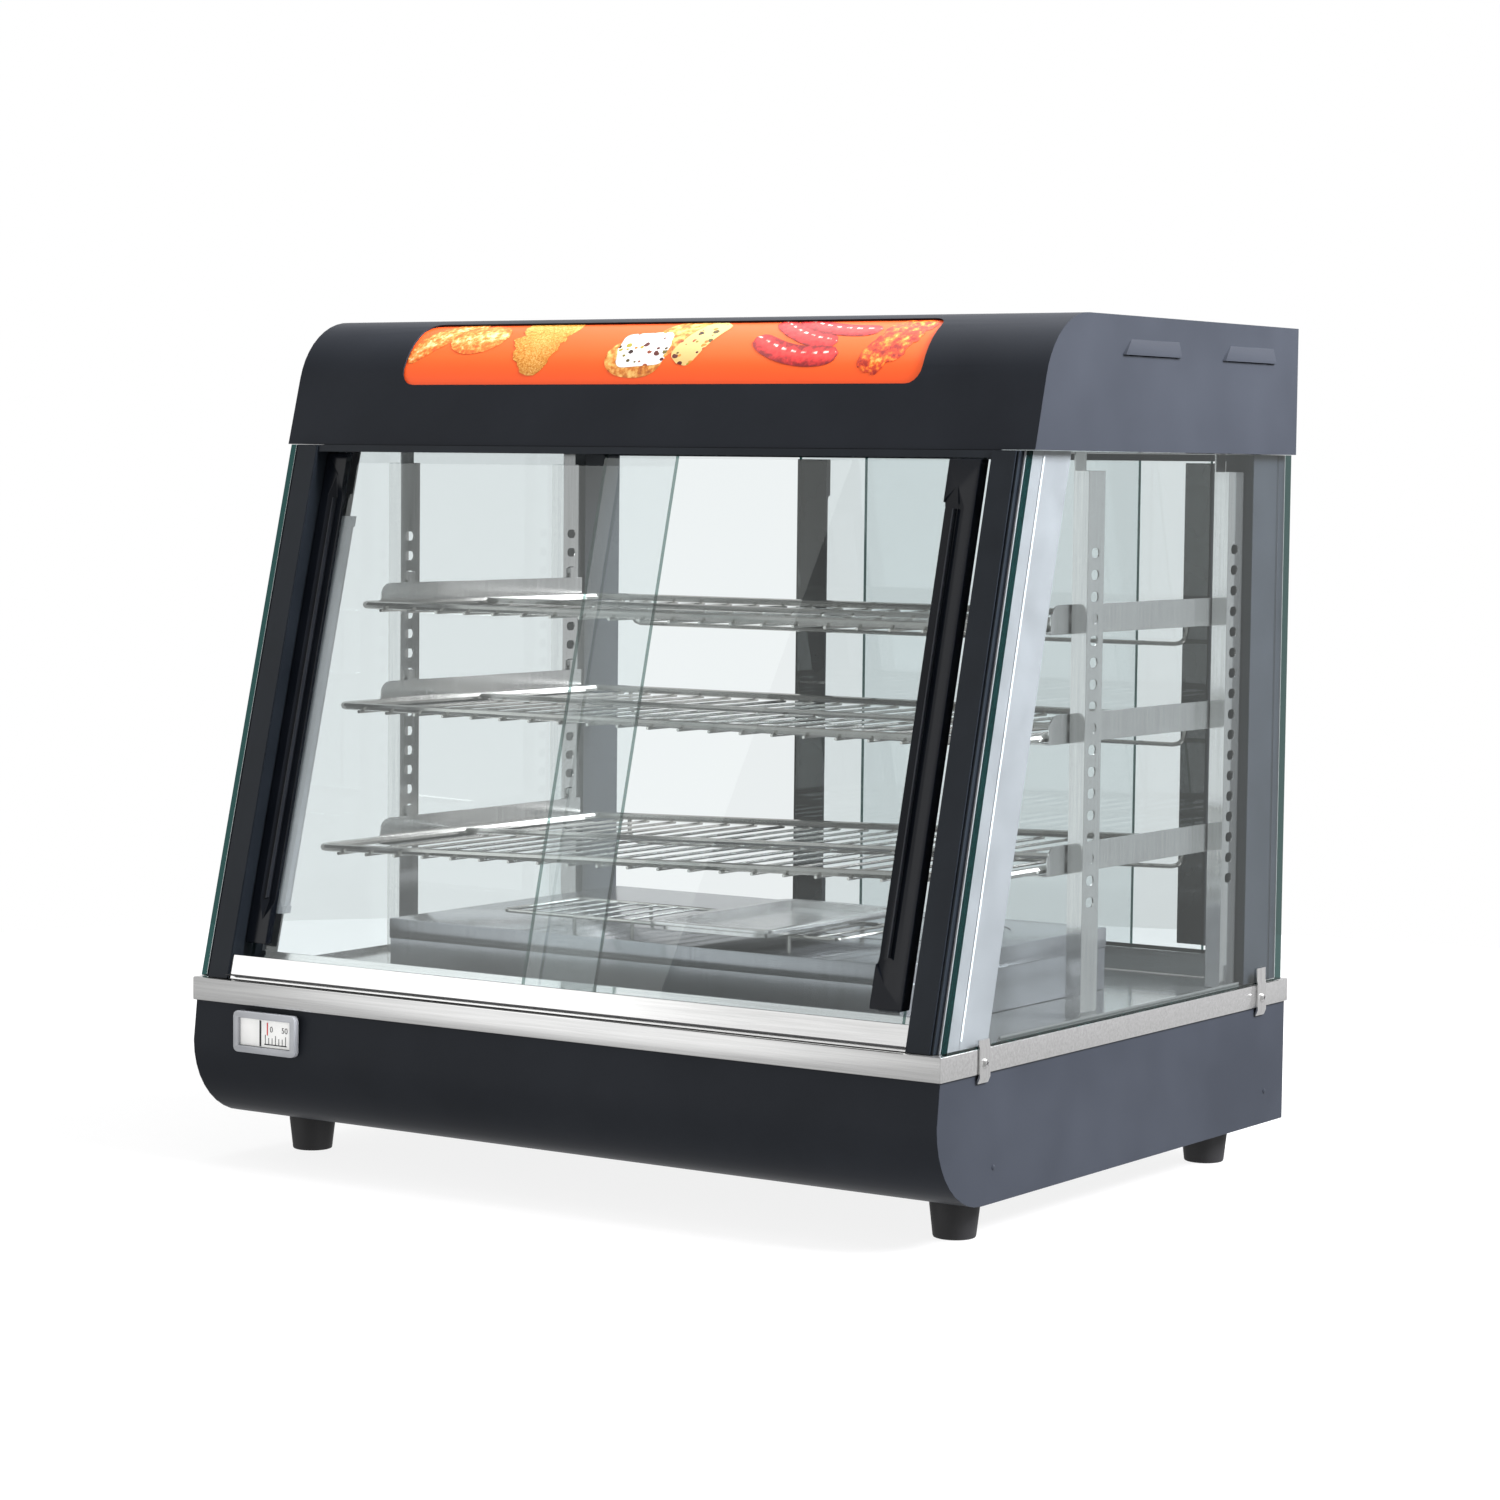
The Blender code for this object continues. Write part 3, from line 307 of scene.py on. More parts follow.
def paint_material(name, colour, rough):
    """Satin paint on sheet steel: faint orange peel, cloudy colour and gloss."""
    n = Nodes(name)
    where = n.coordinates()
    clouds = n.noise(where, 9, 4)
    peel = n.noise(where, 900, 2)
    n.paint(n.ramp(clouds, ((0.35, colour), (0.7, scaled(colour, 1.25, 0.001)))))
    n.roughen(n.span(clouds, rough - 0.04, rough + 0.05))
    n.put(Specular_IOR_Level=0.10)
    n.bump(peel, 0.12, PEEL_DEPTH)
    return n.material


def steel_material(name, rough, colour=SHEET_GREY, grain=BRUSHED_ACROSS, metal=0.95):
    """Stainless sheet: fine brushed grain, slight waviness and soft smears."""
    n = Nodes(name)
    lines = n.noise(n.coordinates(grain), 1.0, 3, 0.6)
    waves = n.noise(n.coordinates(), 7, 2)
    n.paint(n.ramp(lines, ((0.3, scaled(colour, 0.86)), (0.65, colour))))
    n.roughen(n.math("ADD", n.span(lines, rough - 0.05, rough + 0.06), n.span(waves, -0.04, 0.05)))
    n.put(Metallic=metal)
    height = n.math("ADD", n.math("MULTIPLY", lines, 0.02), n.math("MULTIPLY", waves, 1.2))
    n.bump(height, 0.18, SHEET_WAVE_DEPTH)
    return n.material


def plastic_material(name, colour, rough, peel_scale=1200, peel=0.08, shine=0.4):
    """Moulded plastic or rubber: a faint mottle and a fine moulded grain."""
    n = Nodes(name)
    where = n.coordinates()
    clouds = n.noise(where, 25, 3)
    n.paint(n.ramp(clouds, ((0.3, colour), (0.75, scaled(colour, 1.3, 0.001)))))
    n.roughen(n.span(clouds, rough - 0.03, rough + 0.05))
    n.put(Specular_IOR_Level=shine)
    n.bump(n.noise(where, peel_scale, 2), peel, PEEL_DEPTH)
    return n.material


def glass_material(name, face_axis, edge=GREEN_EDGE):
    """Float glass: clear and mirroring on its faces, tinted along its cut edges."""
    n = Nodes(name)
    n.tree.nodes.remove(n.shader)
    geometry = n.add("ShaderNodeNewGeometry")
    dot = n.add("ShaderNodeVectorMath", operation="DOT_PRODUCT")
    dot.inputs[1].default_value = face_axis
    n.wire(geometry.outputs["True Normal"], dot.inputs[0])
    on_face = n.math("GREATER_THAN", n.math("ABSOLUTE", dot.outputs["Value"]), 0.5)
    smears = n.noise(n.coordinates((1, 1, 0.35)), 6, 4, 0.6)
    clear = n.add("ShaderNodeBsdfTransparent")
    n.wire(n.mix(on_face, edge, GLASS_TINT), clear.inputs["Color"])
    gloss = n.add("ShaderNodeBsdfGlossy")
    gloss.inputs["Color"].default_value = GLASS_GLOSS
    n.wire(n.span(smears, 0.0, 0.02, (0.45, 0.8)), gloss.inputs["Roughness"])
    fresnel = n.add("ShaderNodeFresnel")
    fresnel.inputs["IOR"].default_value = GLASS_IOR
    entering = n.math("SUBTRACT", 1.0, geometry.outputs["Backfacing"])
    amount = n.math("MULTIPLY", n.math("MULTIPLY", fresnel.outputs["Fac"], GLASS_SHINE), entering)
    amount = n.math("MULTIPLY", amount, n.span(on_face, EDGE_SHINE, 1.0))
    blend = n.add("ShaderNodeMixShader")
    n.wire(amount, blend.inputs["Fac"])
    n.wire(clear.outputs["BSDF"], blend.inputs[1])
    n.wire(gloss.outputs["BSDF"], blend.inputs[2])
    n.wire(blend.outputs["Shader"], n.output.inputs["Surface"])
    return n.material


def lamp_material():
    """Frosted diffuser with a hazy, very faint glow."""
    n = Nodes("lamp_diffuser")
    haze = n.noise(n.coordinates((1, 1, 0.2)), 60, 2)
    n.paint(n.ramp(haze, LAMP_GREYS))
    n.put(Roughness=0.35, Emission_Color=(0.9, 0.95, 1, 1), Emission_Strength=0.04)
    n.bump(haze, 0.05, 0.3 * MM)
    return n.material


def sign_material():
    """Printed orange film with faint print grain; lighter in the middle than at its foot and top, a painted
    highlight across the middle and painted shade at both ends.
    """
    n = Nodes("sign_film")
    rise = n.split("Generated")["Z"]
    grain = n.noise(n.coordinates(), 700, 2)
    n.paint(n.ramp(n.math("ADD", rise, n.math("MULTIPLY", grain, 0.03)), SIGN_ORANGES_PAINTED_LIGHT))
    n.put(Roughness=0.3, Specular_IOR_Level=0.3)
    n.bump(grain, 0.03, 0.1 * MM)
    return n.material


PAINT = paint_material("black_paint", (0.0124, 0.0144, 0.0184), 0.42)
STEEL = steel_material("stainless", 0.14)
STEEL_SIDE = steel_material("stainless_upright", 0.16, grain=BRUSHED_UP)
MIRROR_STEEL = steel_material("polished_steel", 0.10, (0.70, 0.70, 0.69), BRUSHED_UP)
CHROME = steel_material("plated_wire", 0.16, (0.60, 0.59, 0.56), (60, 60, 60))
TRAY_STEEL = steel_material("tray_steel", 0.22, (0.74, 0.74, 0.73), (90, 90, 90), 0.82)
BLACK = plastic_material("black_moulding", (0.0090, 0.0115, 0.0150), 0.36, shine=0.16)
SLATE = plastic_material("slate_moulding", (0.016, 0.018, 0.022), 0.38, shine=0.25)
GLOSS_BLACK = plastic_material("handle_black", (0.0032, 0.0042, 0.0064), 0.16, 400, 0.02, 0.2)
LINER = plastic_material("liner_film", (0.120, 0.122, 0.127), 0.30, 300, 0.03)
RUBBER = plastic_material("foot_rubber", (0.012, 0.012, 0.013), 0.55, 600, 0.3)
RED = plastic_material("rocker_red", (0.45, 0.02, 0.015), 0.22)
CARD = plastic_material("dial_card", (0.82, 0.82, 0.80), 0.6, 900, 0.1)
BEZEL = plastic_material("bezel_clear", (0.30, 0.31, 0.33), 0.06, 300, 0.02, 1.0)
# A lighter copy of the liner's colour, as a painted highlight along its fold.
FOLD_HIGHLIGHT = plastic_material("liner_fold_highlight", (0.40, 0.41, 0.42), 0.3, 300, 0.03)
HEATER_STEEL = steel_material("heater_steel", 0.16, (0.36, 0.37, 0.39), BRUSHED_UP, 0.85)
ELEMENT = steel_material("element_sheath", 0.4, (0.22, 0.19, 0.16), (40, 40, 40))
LAMP = lamp_material()
SIGN = sign_material()
SIDE_GLASS = glass_material("side_glass", (1, 0, 0))
FRONT_GLASS = glass_material("front_glass", Vector((0, -1, SLOPE)).normalized(), PALE_EDGE)
REAR_GLASS = glass_material("rear_glass", (0, 1, 0))

# How the names of the CAD nodes begin, and the material that they get.
NODE_MATERIALS = (
    ("base_shell canopy_shell base_rear_panel", PAINT),
    ("foot_", RUBBER),
    ("thermometer_bezel", BEZEL),
    ("thermometer_card", CARD),
    ("deck_trim front_sill rear_sill ceiling_panel", STEEL),
    ("tray", TRAY_STEEL),
    ("heater_box", HEATER_STEEL),
    ("post_liner_", LINER),
    ("front_header rear_header front_post_ cord_gland", BLACK),
    ("rear_post_", SLATE),
    ("glass_clip_ bracket_", STEEL_SIDE),
    ("standard_", MIRROR_STEEL),
    ("shelf_ heater_rack", CHROME),
    ("heating_element", ELEMENT),
    ("sign_panel", SIGN),
    ("sign_lamp led_lamp", LAMP),
    ("side_glass_", SIDE_GLASS),
    ("front_left_glass front_right_glass", FRONT_GLASS),
    ("rear_left_glass rear_right_glass", REAR_GLASS),
    ("front_left_handle front_right_handle rear_left_handle rear_right_handle", GLOSS_BLACK),
    ("thermostat_knob light_rocker", GLOSS_BLACK),
    ("power_rocker", RED),
)

# Part of a CAD node's name, and the width in millimetres of the round on its sharp edges.
EDGE_ROUNDS = (
    ("front_post_", 0.5),
    ("rear_post_", 0.8),
    ("canopy_shell", 0.5),
    ("base_shell", 0.5),
    ("handle", 0.7),
    ("bracket_", 0.2),
    ("standard_", 0.25),
    ("front_sill", 0.3),
    ("rear_sill", 0.3),
    ("thermostat_knob", 0.8),
    ("cord_gland", 0.5),
    ("led_lamp", 0.6),
)
WELD_DISTANCE = 0.002 * MM
ROUNDED_ABOVE = math.radians(40)
SPLIT_ABOVE = math.radians(32)
SHARP_ABOVE = math.radians(35)


def smooth_rounds(obj, width):
    """Shades a CAD node smooth, rounds its sharp edges by width and keeps its flat faces crisp."""
    if "custom_normal" in obj.data.attributes:
        obj.data.attributes.remove(obj.data.attributes["custom_normal"])
    obj.data.shade_smooth()
    weld = obj.modifiers.new("weld", "WELD")
    weld.merge_threshold = WELD_DISTANCE
    if width:
        edges = obj.modifiers.new("edges", "BEVEL")
        edges.width = width * MM
        edges.segments = 2
        edges.limit_method = "ANGLE"
        edges.angle_limit = ROUNDED_ABOVE
        edges.use_clamp_overlap = True
        edges.harden_normals = True
    split = obj.modifiers.new("split", "EDGE_SPLIT")
    split.split_angle = SPLIT_ABOVE


def dress_cad_nodes():
    """Gives each CAD node its material, smooth rounds and small edge rounds."""
    for name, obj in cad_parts.items():
        for beginnings, material in NODE_MATERIALS:
            if name.startswith(tuple(beginnings.split())):
                obj.data.materials.clear()
                obj.data.materials.append(material)
        smooth_rounds(obj, next((width for part, width in EDGE_ROUNDS if part in name), 0.0))


# ---------------------------------------------------------------- mesh helpers, in metres
def new_piece(name, bm, material, body="cabinet", smooth=True):
    mesh = bpy.data.meshes.new(name)
    bmesh.ops.recalc_face_normals(bm, faces=bm.faces)
    bm.to_mesh(mesh)
    bm.free()
    if smooth:
        mesh.shade_smooth()
        mesh.set_sharp_from_angle(angle=SHARP_ABOVE)
    mesh.materials.append(material)
    obj = link(bpy.data.objects.new(name, mesh))
    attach(obj, body)


def rounded_block(bm, low, high, bevel):
    """A block between two corners, with its edges broken by bevel."""
    made = bmesh.ops.create_cube(bm, size=1.0)["verts"]
    bmesh.ops.scale(bm, vec=Vector(high) - Vector(low), verts=made)
    bmesh.ops.translate(bm, vec=(Vector(low) + Vector(high)) / 2, verts=made)
    edges = list(dict.fromkeys(edge for vert in made for edge in vert.link_edges))
    bmesh.ops.bevel(bm, geom=edges, offset=bevel, segments=1, profile=0.5, affect="EDGES")


def skin(bm, rings):
    """Joins rings of equally many points into a closed solid."""
    for first, second in zip(rings, rings[1:]):
        for i in range(len(first)):
            bm.faces.new((first[i - 1], first[i], second[i], second[i - 1]))
    bm.faces.new(rings[0][::-1])
    bm.faces.new(rings[-1])


def turned(bm, centre, axis, profile, sides):
    """A closed turned solid: profile is (radius, distance along axis) from the base to the tip."""
    quat = Vector(axis).to_track_quat("Z", "Y")
    rings = []
    for radius, along in profile:
        ring = []
        for i in range(sides):
            angle = 2 * math.pi * i / sides
            offset = quat @ Vector((radius * math.cos(angle), radius * math.sin(angle), along))
            ring.append(bm.verts.new(Vector(centre) + offset))
        rings.append(ring)
    skin(bm, rings)


def leaning_bar(bm, xs, depths, zs):
    """A thin bar that leans back with the sloped front; depths are y at the deck's top."""
    rings = []
    for z in zs:
        back = SLOPE * (z - DECK_TOP)
        corners = ((xs[0], depths[0]), (xs[1], depths[0]), (xs[1], depths[1]), (xs[0], depths[1]))
        rings.append([bm.verts.new((x, depth + back, z)) for x, depth in corners])
    skin(bm, rings)


# ---------------------------------------------------------------- printed sign
# The film follows the canopy's front: it leans back by LEAN, then turns over the round shoulder.
SHOULDER = 61.0 * MM
LEAN = math.radians(15.2)
FILM_INSET = 1.7 * MM
FILM_RADIUS = SHOULDER - FILM_INSET
FILM_START = math.pi - LEAN
FILM_CENTRE_Y = (CANOPY_LOW.y + (CANOPY_HIGH.z - CANOPY_LOW.z) * math.tan(LEAN)
                 + SHOULDER * math.tan((math.pi / 2 - LEAN) / 2))
FILM_CENTRE_Z = CANOPY_HIGH.z - SHOULDER

# Pictures lie in layers just above the film, in millimetres.
FIRST_LAYER = 0.10
LAYER_STEP = 0.05
PICTURE_LENGTH_STEPS = 28
PICTURE_WIDTH_STEPS = 8
LEAST_HALF_WIDTH = 0.1

CROISSANT_TONES = ((0.34, (0.55, 0.09, 0.015)), (0.47, (0.66, 0.18, 0.025)),
                   (0.58, (0.74, 0.35, 0.09)), (0.70, (0.82, 0.60, 0.32)))
CUTLET_TONES = ((0.30, (0.40, 0.11, 0.012)), (0.46, (0.62, 0.25, 0.03)), (0.62, (0.74, 0.44, 0.13)))
FRUIT_COLOURS = ((0.0, (0.03, 0.01, 0.01)), (0.35, (0.35, 0.30, 0.03)),
                 (0.6, (0.80, 0.16, 0.02)), (0.85, (0.10, 0.02, 0.015)))
CRUST_TONES = ((0.2, (0.28, 0.05, 0.01)), (0.4, (0.62, 0.20, 0.03)), (0.6, (0.90, 0.55, 0.16)))
SAUSAGE_TONES = ((0.0, (0.22, 0.012, 0.014)), (0.14, (0.66, 0.03, 0.03)),
                 (0.40, (0.78, 0.08, 0.06)), (0.75, (0.95, 0.72, 0.66)))
WING_TONES = ((0.34, (0.30, 0.015, 0.008)), (0.47, (0.66, 0.06, 0.012)),
              (0.57, (0.82, 0.24, 0.02)), (0.68, (0.88, 0.55, 0.16)))


def sign_point(x, run, lift):
    """A point on the sign film: run metres up from where its round part starts, lift above it."""
    angle = FILM_START - max(run, 0.0) / FILM_RADIUS
    radius = FILM_RADIUS + lift
    point = Vector((x, FILM_CENTRE_Y + radius * math.cos(angle), FILM_CENTRE_Z + radius * math.sin(angle)))
    return point + Vector((0, math.sin(LEAN), math.cos(LEAN))) * min(run, 0.0)


def print_patch(name, spine, half_width, material, where, turn, layer):
    """A printed picture on the film: a band along spine(u) of half_width(u, v), u and v from -1 to 1."""
    bm = bmesh.new()
    uv_layer = bm.loops.layers.uv.new("picture")
    cos_turn, sin_turn = math.cos(turn), math.sin(turn)
    lift = (FIRST_LAYER + LAYER_STEP * layer) * MM
    grid = []
    for i in range(PICTURE_LENGTH_STEPS + 1):
        u = -1 + 2 * i / PICTURE_LENGTH_STEPS
        here, ahead = Vector(spine(u)), Vector(spine(u + 0.01))
        tangent = (ahead - here).normalized()
        normal = Vector((-tangent.y, tangent.x))
        row = []
        for j in range(PICTURE_WIDTH_STEPS + 1):
            v = -1 + 2 * j / PICTURE_WIDTH_STEPS
            flat = here + normal * v * half_width(u, v)
            x = (where[0] + flat.x * cos_turn - flat.y * sin_turn) * MM
            run = (where[1] + flat.x * sin_turn + flat.y * cos_turn) * MM
            row.append((bm.verts.new(sign_point(x, run, lift)), ((u + 1) / 2, (v + 1) / 2)))
        grid.append(row)
    for first, second in zip(grid, grid[1:]):
        for j in range(PICTURE_WIDTH_STEPS):
            corners = (first[j], first[j + 1], second[j + 1], second[j])
            face = bm.faces.new([vert for vert, _ in corners])
            for loop, (_, uv) in zip(face.loops, corners):
                loop[uv_layer].uv = uv
    new_piece(name, bm, material)


def bent(length, rise):
    """A spine of this length that bows by rise, in millimetres."""
    return lambda u: (u * length / 2, rise * (1 - u * u))


def round_end(u, power):
    return max(0.0, 1 - abs(u) ** power) ** 0.5


def rounded(width, power):
    """A smooth outline; a higher power makes its ends blunter."""
    return lambda u, v: width * round_end(u, power) + LEAST_HALF_WIDTH


def ragged(width, seed, taper=0.0):
    """A crumbly outline; taper makes the u = -1 end narrower than the other."""
    def half_width(u, v):
        crumbs = 1 + 0.08 * math.sin(9 * u + seed) + 0.04 * math.sin(23 * u + 2 * seed + v)
        return width * round_end(u, 4) * (1 - taper * (1 - u) / 2) * crumbs + LEAST_HALF_WIDTH
    return half_width


class PictureNodes(Nodes):
    """A picture's material: along and side run from 0 to 1 over it, across grows from its middle."""

    def __init__(self, name):
        super().__init__(name)
        places = self.split("UV")
        self.along, self.side = places["X"], places["Y"]
        self.across = self.math("ABSOLUTE", self.math("SUBTRACT", self.side, 0.5))
        self.put(Roughness=0.25)

    def darker_at_rim(self, tone, amount):
        return self.math("SUBTRACT", tone, self.math("MULTIPLY", self.across, amount))


def croissant_material():
    """Baked pastry: pale crest, orange flanks, soft folds running across it."""
    n = PictureNodes("print_croissant")
    crumbs = n.noise(n.coordinates(), 260, 5, 0.65)
    phase = n.math("ADD", n.math("MULTIPLY", n.along, 30), n.math("MULTIPLY", n.across, -12))
    tone = n.math("ADD", n.math("MULTIPLY", n.math("SINE", phase), 0.03), crumbs)
    n.paint(n.ramp(n.darker_at_rim(n.math("ADD", tone, 0.10), 0.38), CROISSANT_TONES))
    return n.material


def cutlet_material():
    """Golden breadcrumbs."""
    n = PictureNodes("print_cutlet")
    crumbs = n.noise(n.coordinates(), 650, 5, 0.7)
    n.paint(n.ramp(n.darker_at_rim(crumbs, 0.15), CUTLET_TONES))
    return n.material


def loaf_material(name, crumb, spread):
    """A cut face with pieces of fruit in several colours."""
    n = PictureNodes(name)
    where = n.coordinates((1, 1, 1.3))
    base = n.mix(n.span(n.noise(where, 420, 4), 0, 0.5), crumb, scaled(crumb, 0.72))
    fruit = n.add("ShaderNodeTexVoronoi")
    fruit.inputs["Scale"].default_value = spread
    n.wire(where, fruit.inputs["Vector"])
    chance = n.add("ShaderNodeSeparateColor")
    n.wire(fruit.outputs["Color"], chance.inputs["Color"])
    colours = n.ramp(chance.outputs["Red"], FRUIT_COLOURS)
    reach = n.math("MULTIPLY", chance.outputs["Green"], 0.55)
    n.paint(n.mix(n.math("LESS_THAN", fruit.outputs["Distance"], reach), base, colours))
    return n.material


def crust_material():
    """Brown crust, darker towards its rim."""
    n = PictureNodes("print_crust")
    bake = n.noise(n.coordinates(), 220, 4)
    n.paint(n.ramp(n.darker_at_rim(bake, 0.25), CRUST_TONES))
    return n.material


def sausage_material():
    """Smoked red skin with a row of bright dashes where the light catches the scored side."""
    n = PictureNodes("print_sausage")
    beside = n.math("ABSOLUTE", n.math("SUBTRACT", n.side, 0.66))
    shine = n.math("MAXIMUM", n.math("SUBTRACT", 1.0, n.math("MULTIPLY", beside, 9)), 0.0)
    dashes = n.math("GREATER_THAN", n.math("SINE", n.math("MULTIPLY", n.along, 52)), 0.1)
    blotch = n.noise(n.coordinates(), 260, 3)
    tone = n.math("MULTIPLY", n.math("MULTIPLY", shine, dashes), n.math("MULTIPLY", blotch, 1.1))
    tone = n.math("ADD", tone, n.math("MULTIPLY", blotch, 0.42))
    n.paint(n.ramp(n.darker_at_rim(tone, 0.42), SAUSAGE_TONES))
    return n.material


def wing_material():
    """Glazed chicken: dark red skin with orange and pale patches."""
    n = PictureNodes("print_wing")
    glaze = n.noise(n.coordinates(), 170, 5, 0.65)
    n.paint(n.ramp(n.darker_at_rim(glaze, 0.15), WING_TONES))
    return n.material


def add_sign_pictures():
    """Generic food on the sign: places are (x, run up the film) in millimetres, turns in degrees."""
    croissant, cutlet, crust = croissant_material(), cutlet_material(), crust_material()
    sausage, wing = sausage_material(), wing_material()
    pale = loaf_material("print_fruit_loaf", (0.90, 0.88, 0.84), 165)
    dark = loaf_material("print_raisin_loaf", (0.74, 0.50, 0.18), 170)
    pictures = (
        # name, spine, half width, material, place, turn, layer
        ("croissant_one", bent(70, 7), rounded(11.5, 1.7), croissant, (-202, 35), 40, 1),
        ("croissant_two", bent(52, 3), rounded(17, 2.2), croissant, (-171, 35), 8, 2),
        ("cutlet_upper", bent(52, 2), ragged(14, 0.4), cutlet, (-111, 49), -4, 1),
        ("cutlet_lower", bent(40, 2), ragged(28, 2.1, 0.65), cutlet, (-110, 22), 98, 2),
        ("loaf_crust", bent(52, -4), rounded(16, 3), crust, (-19, 20), -3, 1),
        ("loaf_pale", bent(46, 0), rounded(16, 9), pale, (-14, 25), 4, 3),
        ("dark_crust", bent(56, 3), rounded(15, 4), crust, (13, 40), 52, 1),
        ("dark_loaf", bent(52, 0), rounded(11.5, 8), dark, (32, 34), 62, 2),
        ("sausage_far", bent(80, -8), rounded(7.2, 7), sausage, (145, 53), -14, 1),
        ("sausage_middle", bent(68, -7), rounded(7.6, 7), sausage, (122, 44), -26, 2),
        ("sausage_near", bent(78, -9), rounded(8.6, 7), sausage, (119, 27), -12, 3),
        ("wing_body", bent(56, 3), ragged(16, 1.2), wing, (206, 36), 62, 1),
        ("wing_knuckle", bent(24, 0), ragged(12, 2.6), wing, (188, 15), -20, 2),
    )
    for name, spine, half_width, material, where, turn, layer in pictures:
        print_patch("print_" + name, spine, half_width, material, where, math.radians(turn), layer)


# ---------------------------------------------------------------- thermometer face
# Places on the card are shares of its width and height.
PRINT_GAP = 0.12 * MM
PRINT_THICK = 0.05 * MM
PRINT_ROUND = 0.02 * MM
TICKS = 7
TICK_HALF = 0.32 * MM
FIRST_TICK, LAST_TICK = 0.50, 0.90
TICK_FOOT = 0.10
SHORT_TICK, LONG_TICK = 0.26, 0.36
BASELINE_ENDS = (0.48, 0.92)
BASELINE_HEIGHTS = (0.09, 0.13)
DIVIDER_PLACE, DIVIDER_HALF = 0.40, 0.9 * MM
POINTER_PLACE, POINTER_HALF = 0.54, 0.5 * MM
NUMBER_SIZE, NUMBER_FOOT = 0.30, 0.58
NUMBERS = (("0", 0.62), ("50", 0.88))


def card_bar(bm, xs, shares, face):
    """A printed bar on the card, between two x and two shares of the card's height."""
    low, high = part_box("thermometer_card")
    height = high.z - low.z
    rounded_block(bm, (xs[0], face, low.z + shares[0] * height),
                  (xs[1], face + PRINT_THICK, low.z + shares[1] * height), PRINT_ROUND)


def add_thermometer_face():
    low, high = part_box("thermometer_card")
    width, height = high.x - low.x, high.z - low.z
    face = low.y - PRINT_GAP
    ink = plastic_material("dial_ink", (0.015, 0.015, 0.018), 0.5)
    red = plastic_material("dial_red", (0.60, 0.02, 0.015), 0.5)
    marks = bmesh.new()
    for i in range(TICKS):
        x = low.x + width * (FIRST_TICK + (LAST_TICK - FIRST_TICK) * i / (TICKS - 1))
        top = TICK_FOOT + (LONG_TICK if i % 3 == 0 else SHORT_TICK)
        card_bar(marks, (x - TICK_HALF, x + TICK_HALF), (TICK_FOOT, top), face)
    card_bar(marks, [low.x + width * end for end in BASELINE_ENDS], BASELINE_HEIGHTS, face)
    x = low.x + width * DIVIDER_PLACE
    card_bar(marks, (x - DIVIDER_HALF, x + DIVIDER_HALF), (0.02, 0.98), face)
    new_piece("dial_marks", marks, ink, smooth=False)
    pointer = bmesh.new()
    x = low.x + width * POINTER_PLACE
    card_bar(pointer, (x - POINTER_HALF, x + POINTER_HALF), (0.45, 0.92), face - 0.1 * MM)
    new_piece("dial_pointer", pointer, red, smooth=False)
    for text, share in NUMBERS:
        data = bpy.data.curves.new("dial_number_" + text, "FONT")
        data.body = text
        data.size = NUMBER_SIZE * height
        data.align_x = "CENTER"
        number = link(bpy.data.objects.new("dial_number_" + text, data))
        number.location = (low.x + width * share, face - 0.03 * MM, low.z + NUMBER_FOOT * height)
        number.rotation_euler = (math.pi / 2, 0, 0)
        data.materials.append(ink)
        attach(number, "cabinet")


# ---------------------------------------------------------------- small fittings
SIDES = (("left", -1), ("right", 1))

RIVET_DEPTHS = (75 * MM, 485 * MM)
RIVET_HEIGHT = 55 * MM
RIVET_PROFILE = ((2.0 * MM, -0.2 * MM), (2.0 * MM, 0.25 * MM), (1.4 * MM, 0.6 * MM), (0.5 * MM, 0.75 * MM))

CLIP_SCREW_RISE = 13.8 * MM
# Each cross recess is painted shade: dark bars almost flush with the screw's crown.
RECESS_ARM = 1.9 * MM
RECESS_HALF_WIDTH = 0.22 * RECESS_ARM
RECESS_TURN = 0.4
RECESS_LIFTS = (-0.02 * MM, 0.04 * MM)
RECESS_OUTLINE = ((-1, -0.6), (0, -1), (1, -0.6), (1, 0.6), (0, 1), (-1, 0.6))

CEILING_SCREW_X = 235 * MM
CEILING_SCREW_BACK = 30 * MM
CEILING_SCREW_PROFILE = ((4.2 * MM, -0.2 * MM), (4.2 * MM, 1.6 * MM), (3.0 * MM, 2.6 * MM),
                         (1.2 * MM, 3.0 * MM))

RIB_HALF = 0.45 * MM
RIB_DEPTHS = (0.9 * MM, 5.0 * MM)
RIB_END_GAP = 34 * MM
# How far across each front grip, from its inner edge, the finger groove's middle lies.
GROOVE_PLACES = {"left": 0.40, "right": 0.32}

STRIP_END_GAP = 1 * MM
STRIP_ROUND = 0.05 * MM

# Where the painted highlight strip along each post liner's fold lies.
FOLD_DEPTHS = (25.3 * MM, 27.3 * MM)
FOLD_XS = (-0.1 * MM, 0.06 * MM)
FOLD_FOOT_GAP = 6 * MM
FOLD_TOP_GAP = 4 * MM


def add_rivets():
    low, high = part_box("base_shell")
    bm = bmesh.new()
    for _, side in SIDES:
        x = high.x if side > 0 else low.x
        for depth in RIVET_DEPTHS:
            turned(bm, (x, low.y + depth, RIVET_HEIGHT), (side, 0, 0), RIVET_PROFILE, 16)
    new_piece("base_rivets", bm, PAINT)


def cross_recess_shade(bm, crown, axis):
    """Painted shade of a screw's cross recess: two thin dark bars across its crown, lying almost flush with
    it.
    """
    quat = Vector(axis).to_track_quat("Z", "Y")
    for turn in (RECESS_TURN, RECESS_TURN + math.pi / 2):
        along = quat @ Vector((math.cos(turn), math.sin(turn), 0)) * RECESS_ARM
        across = Vector(axis).cross(along.normalized()) * RECESS_HALF_WIDTH
        rings = []
        for lift in RECESS_LIFTS:
            middle = Vector(crown) + Vector(axis) * lift
            rings.append([bm.verts.new(middle + along * u + across * v) for u, v in RECESS_OUTLINE])
        skin(bm, rings)


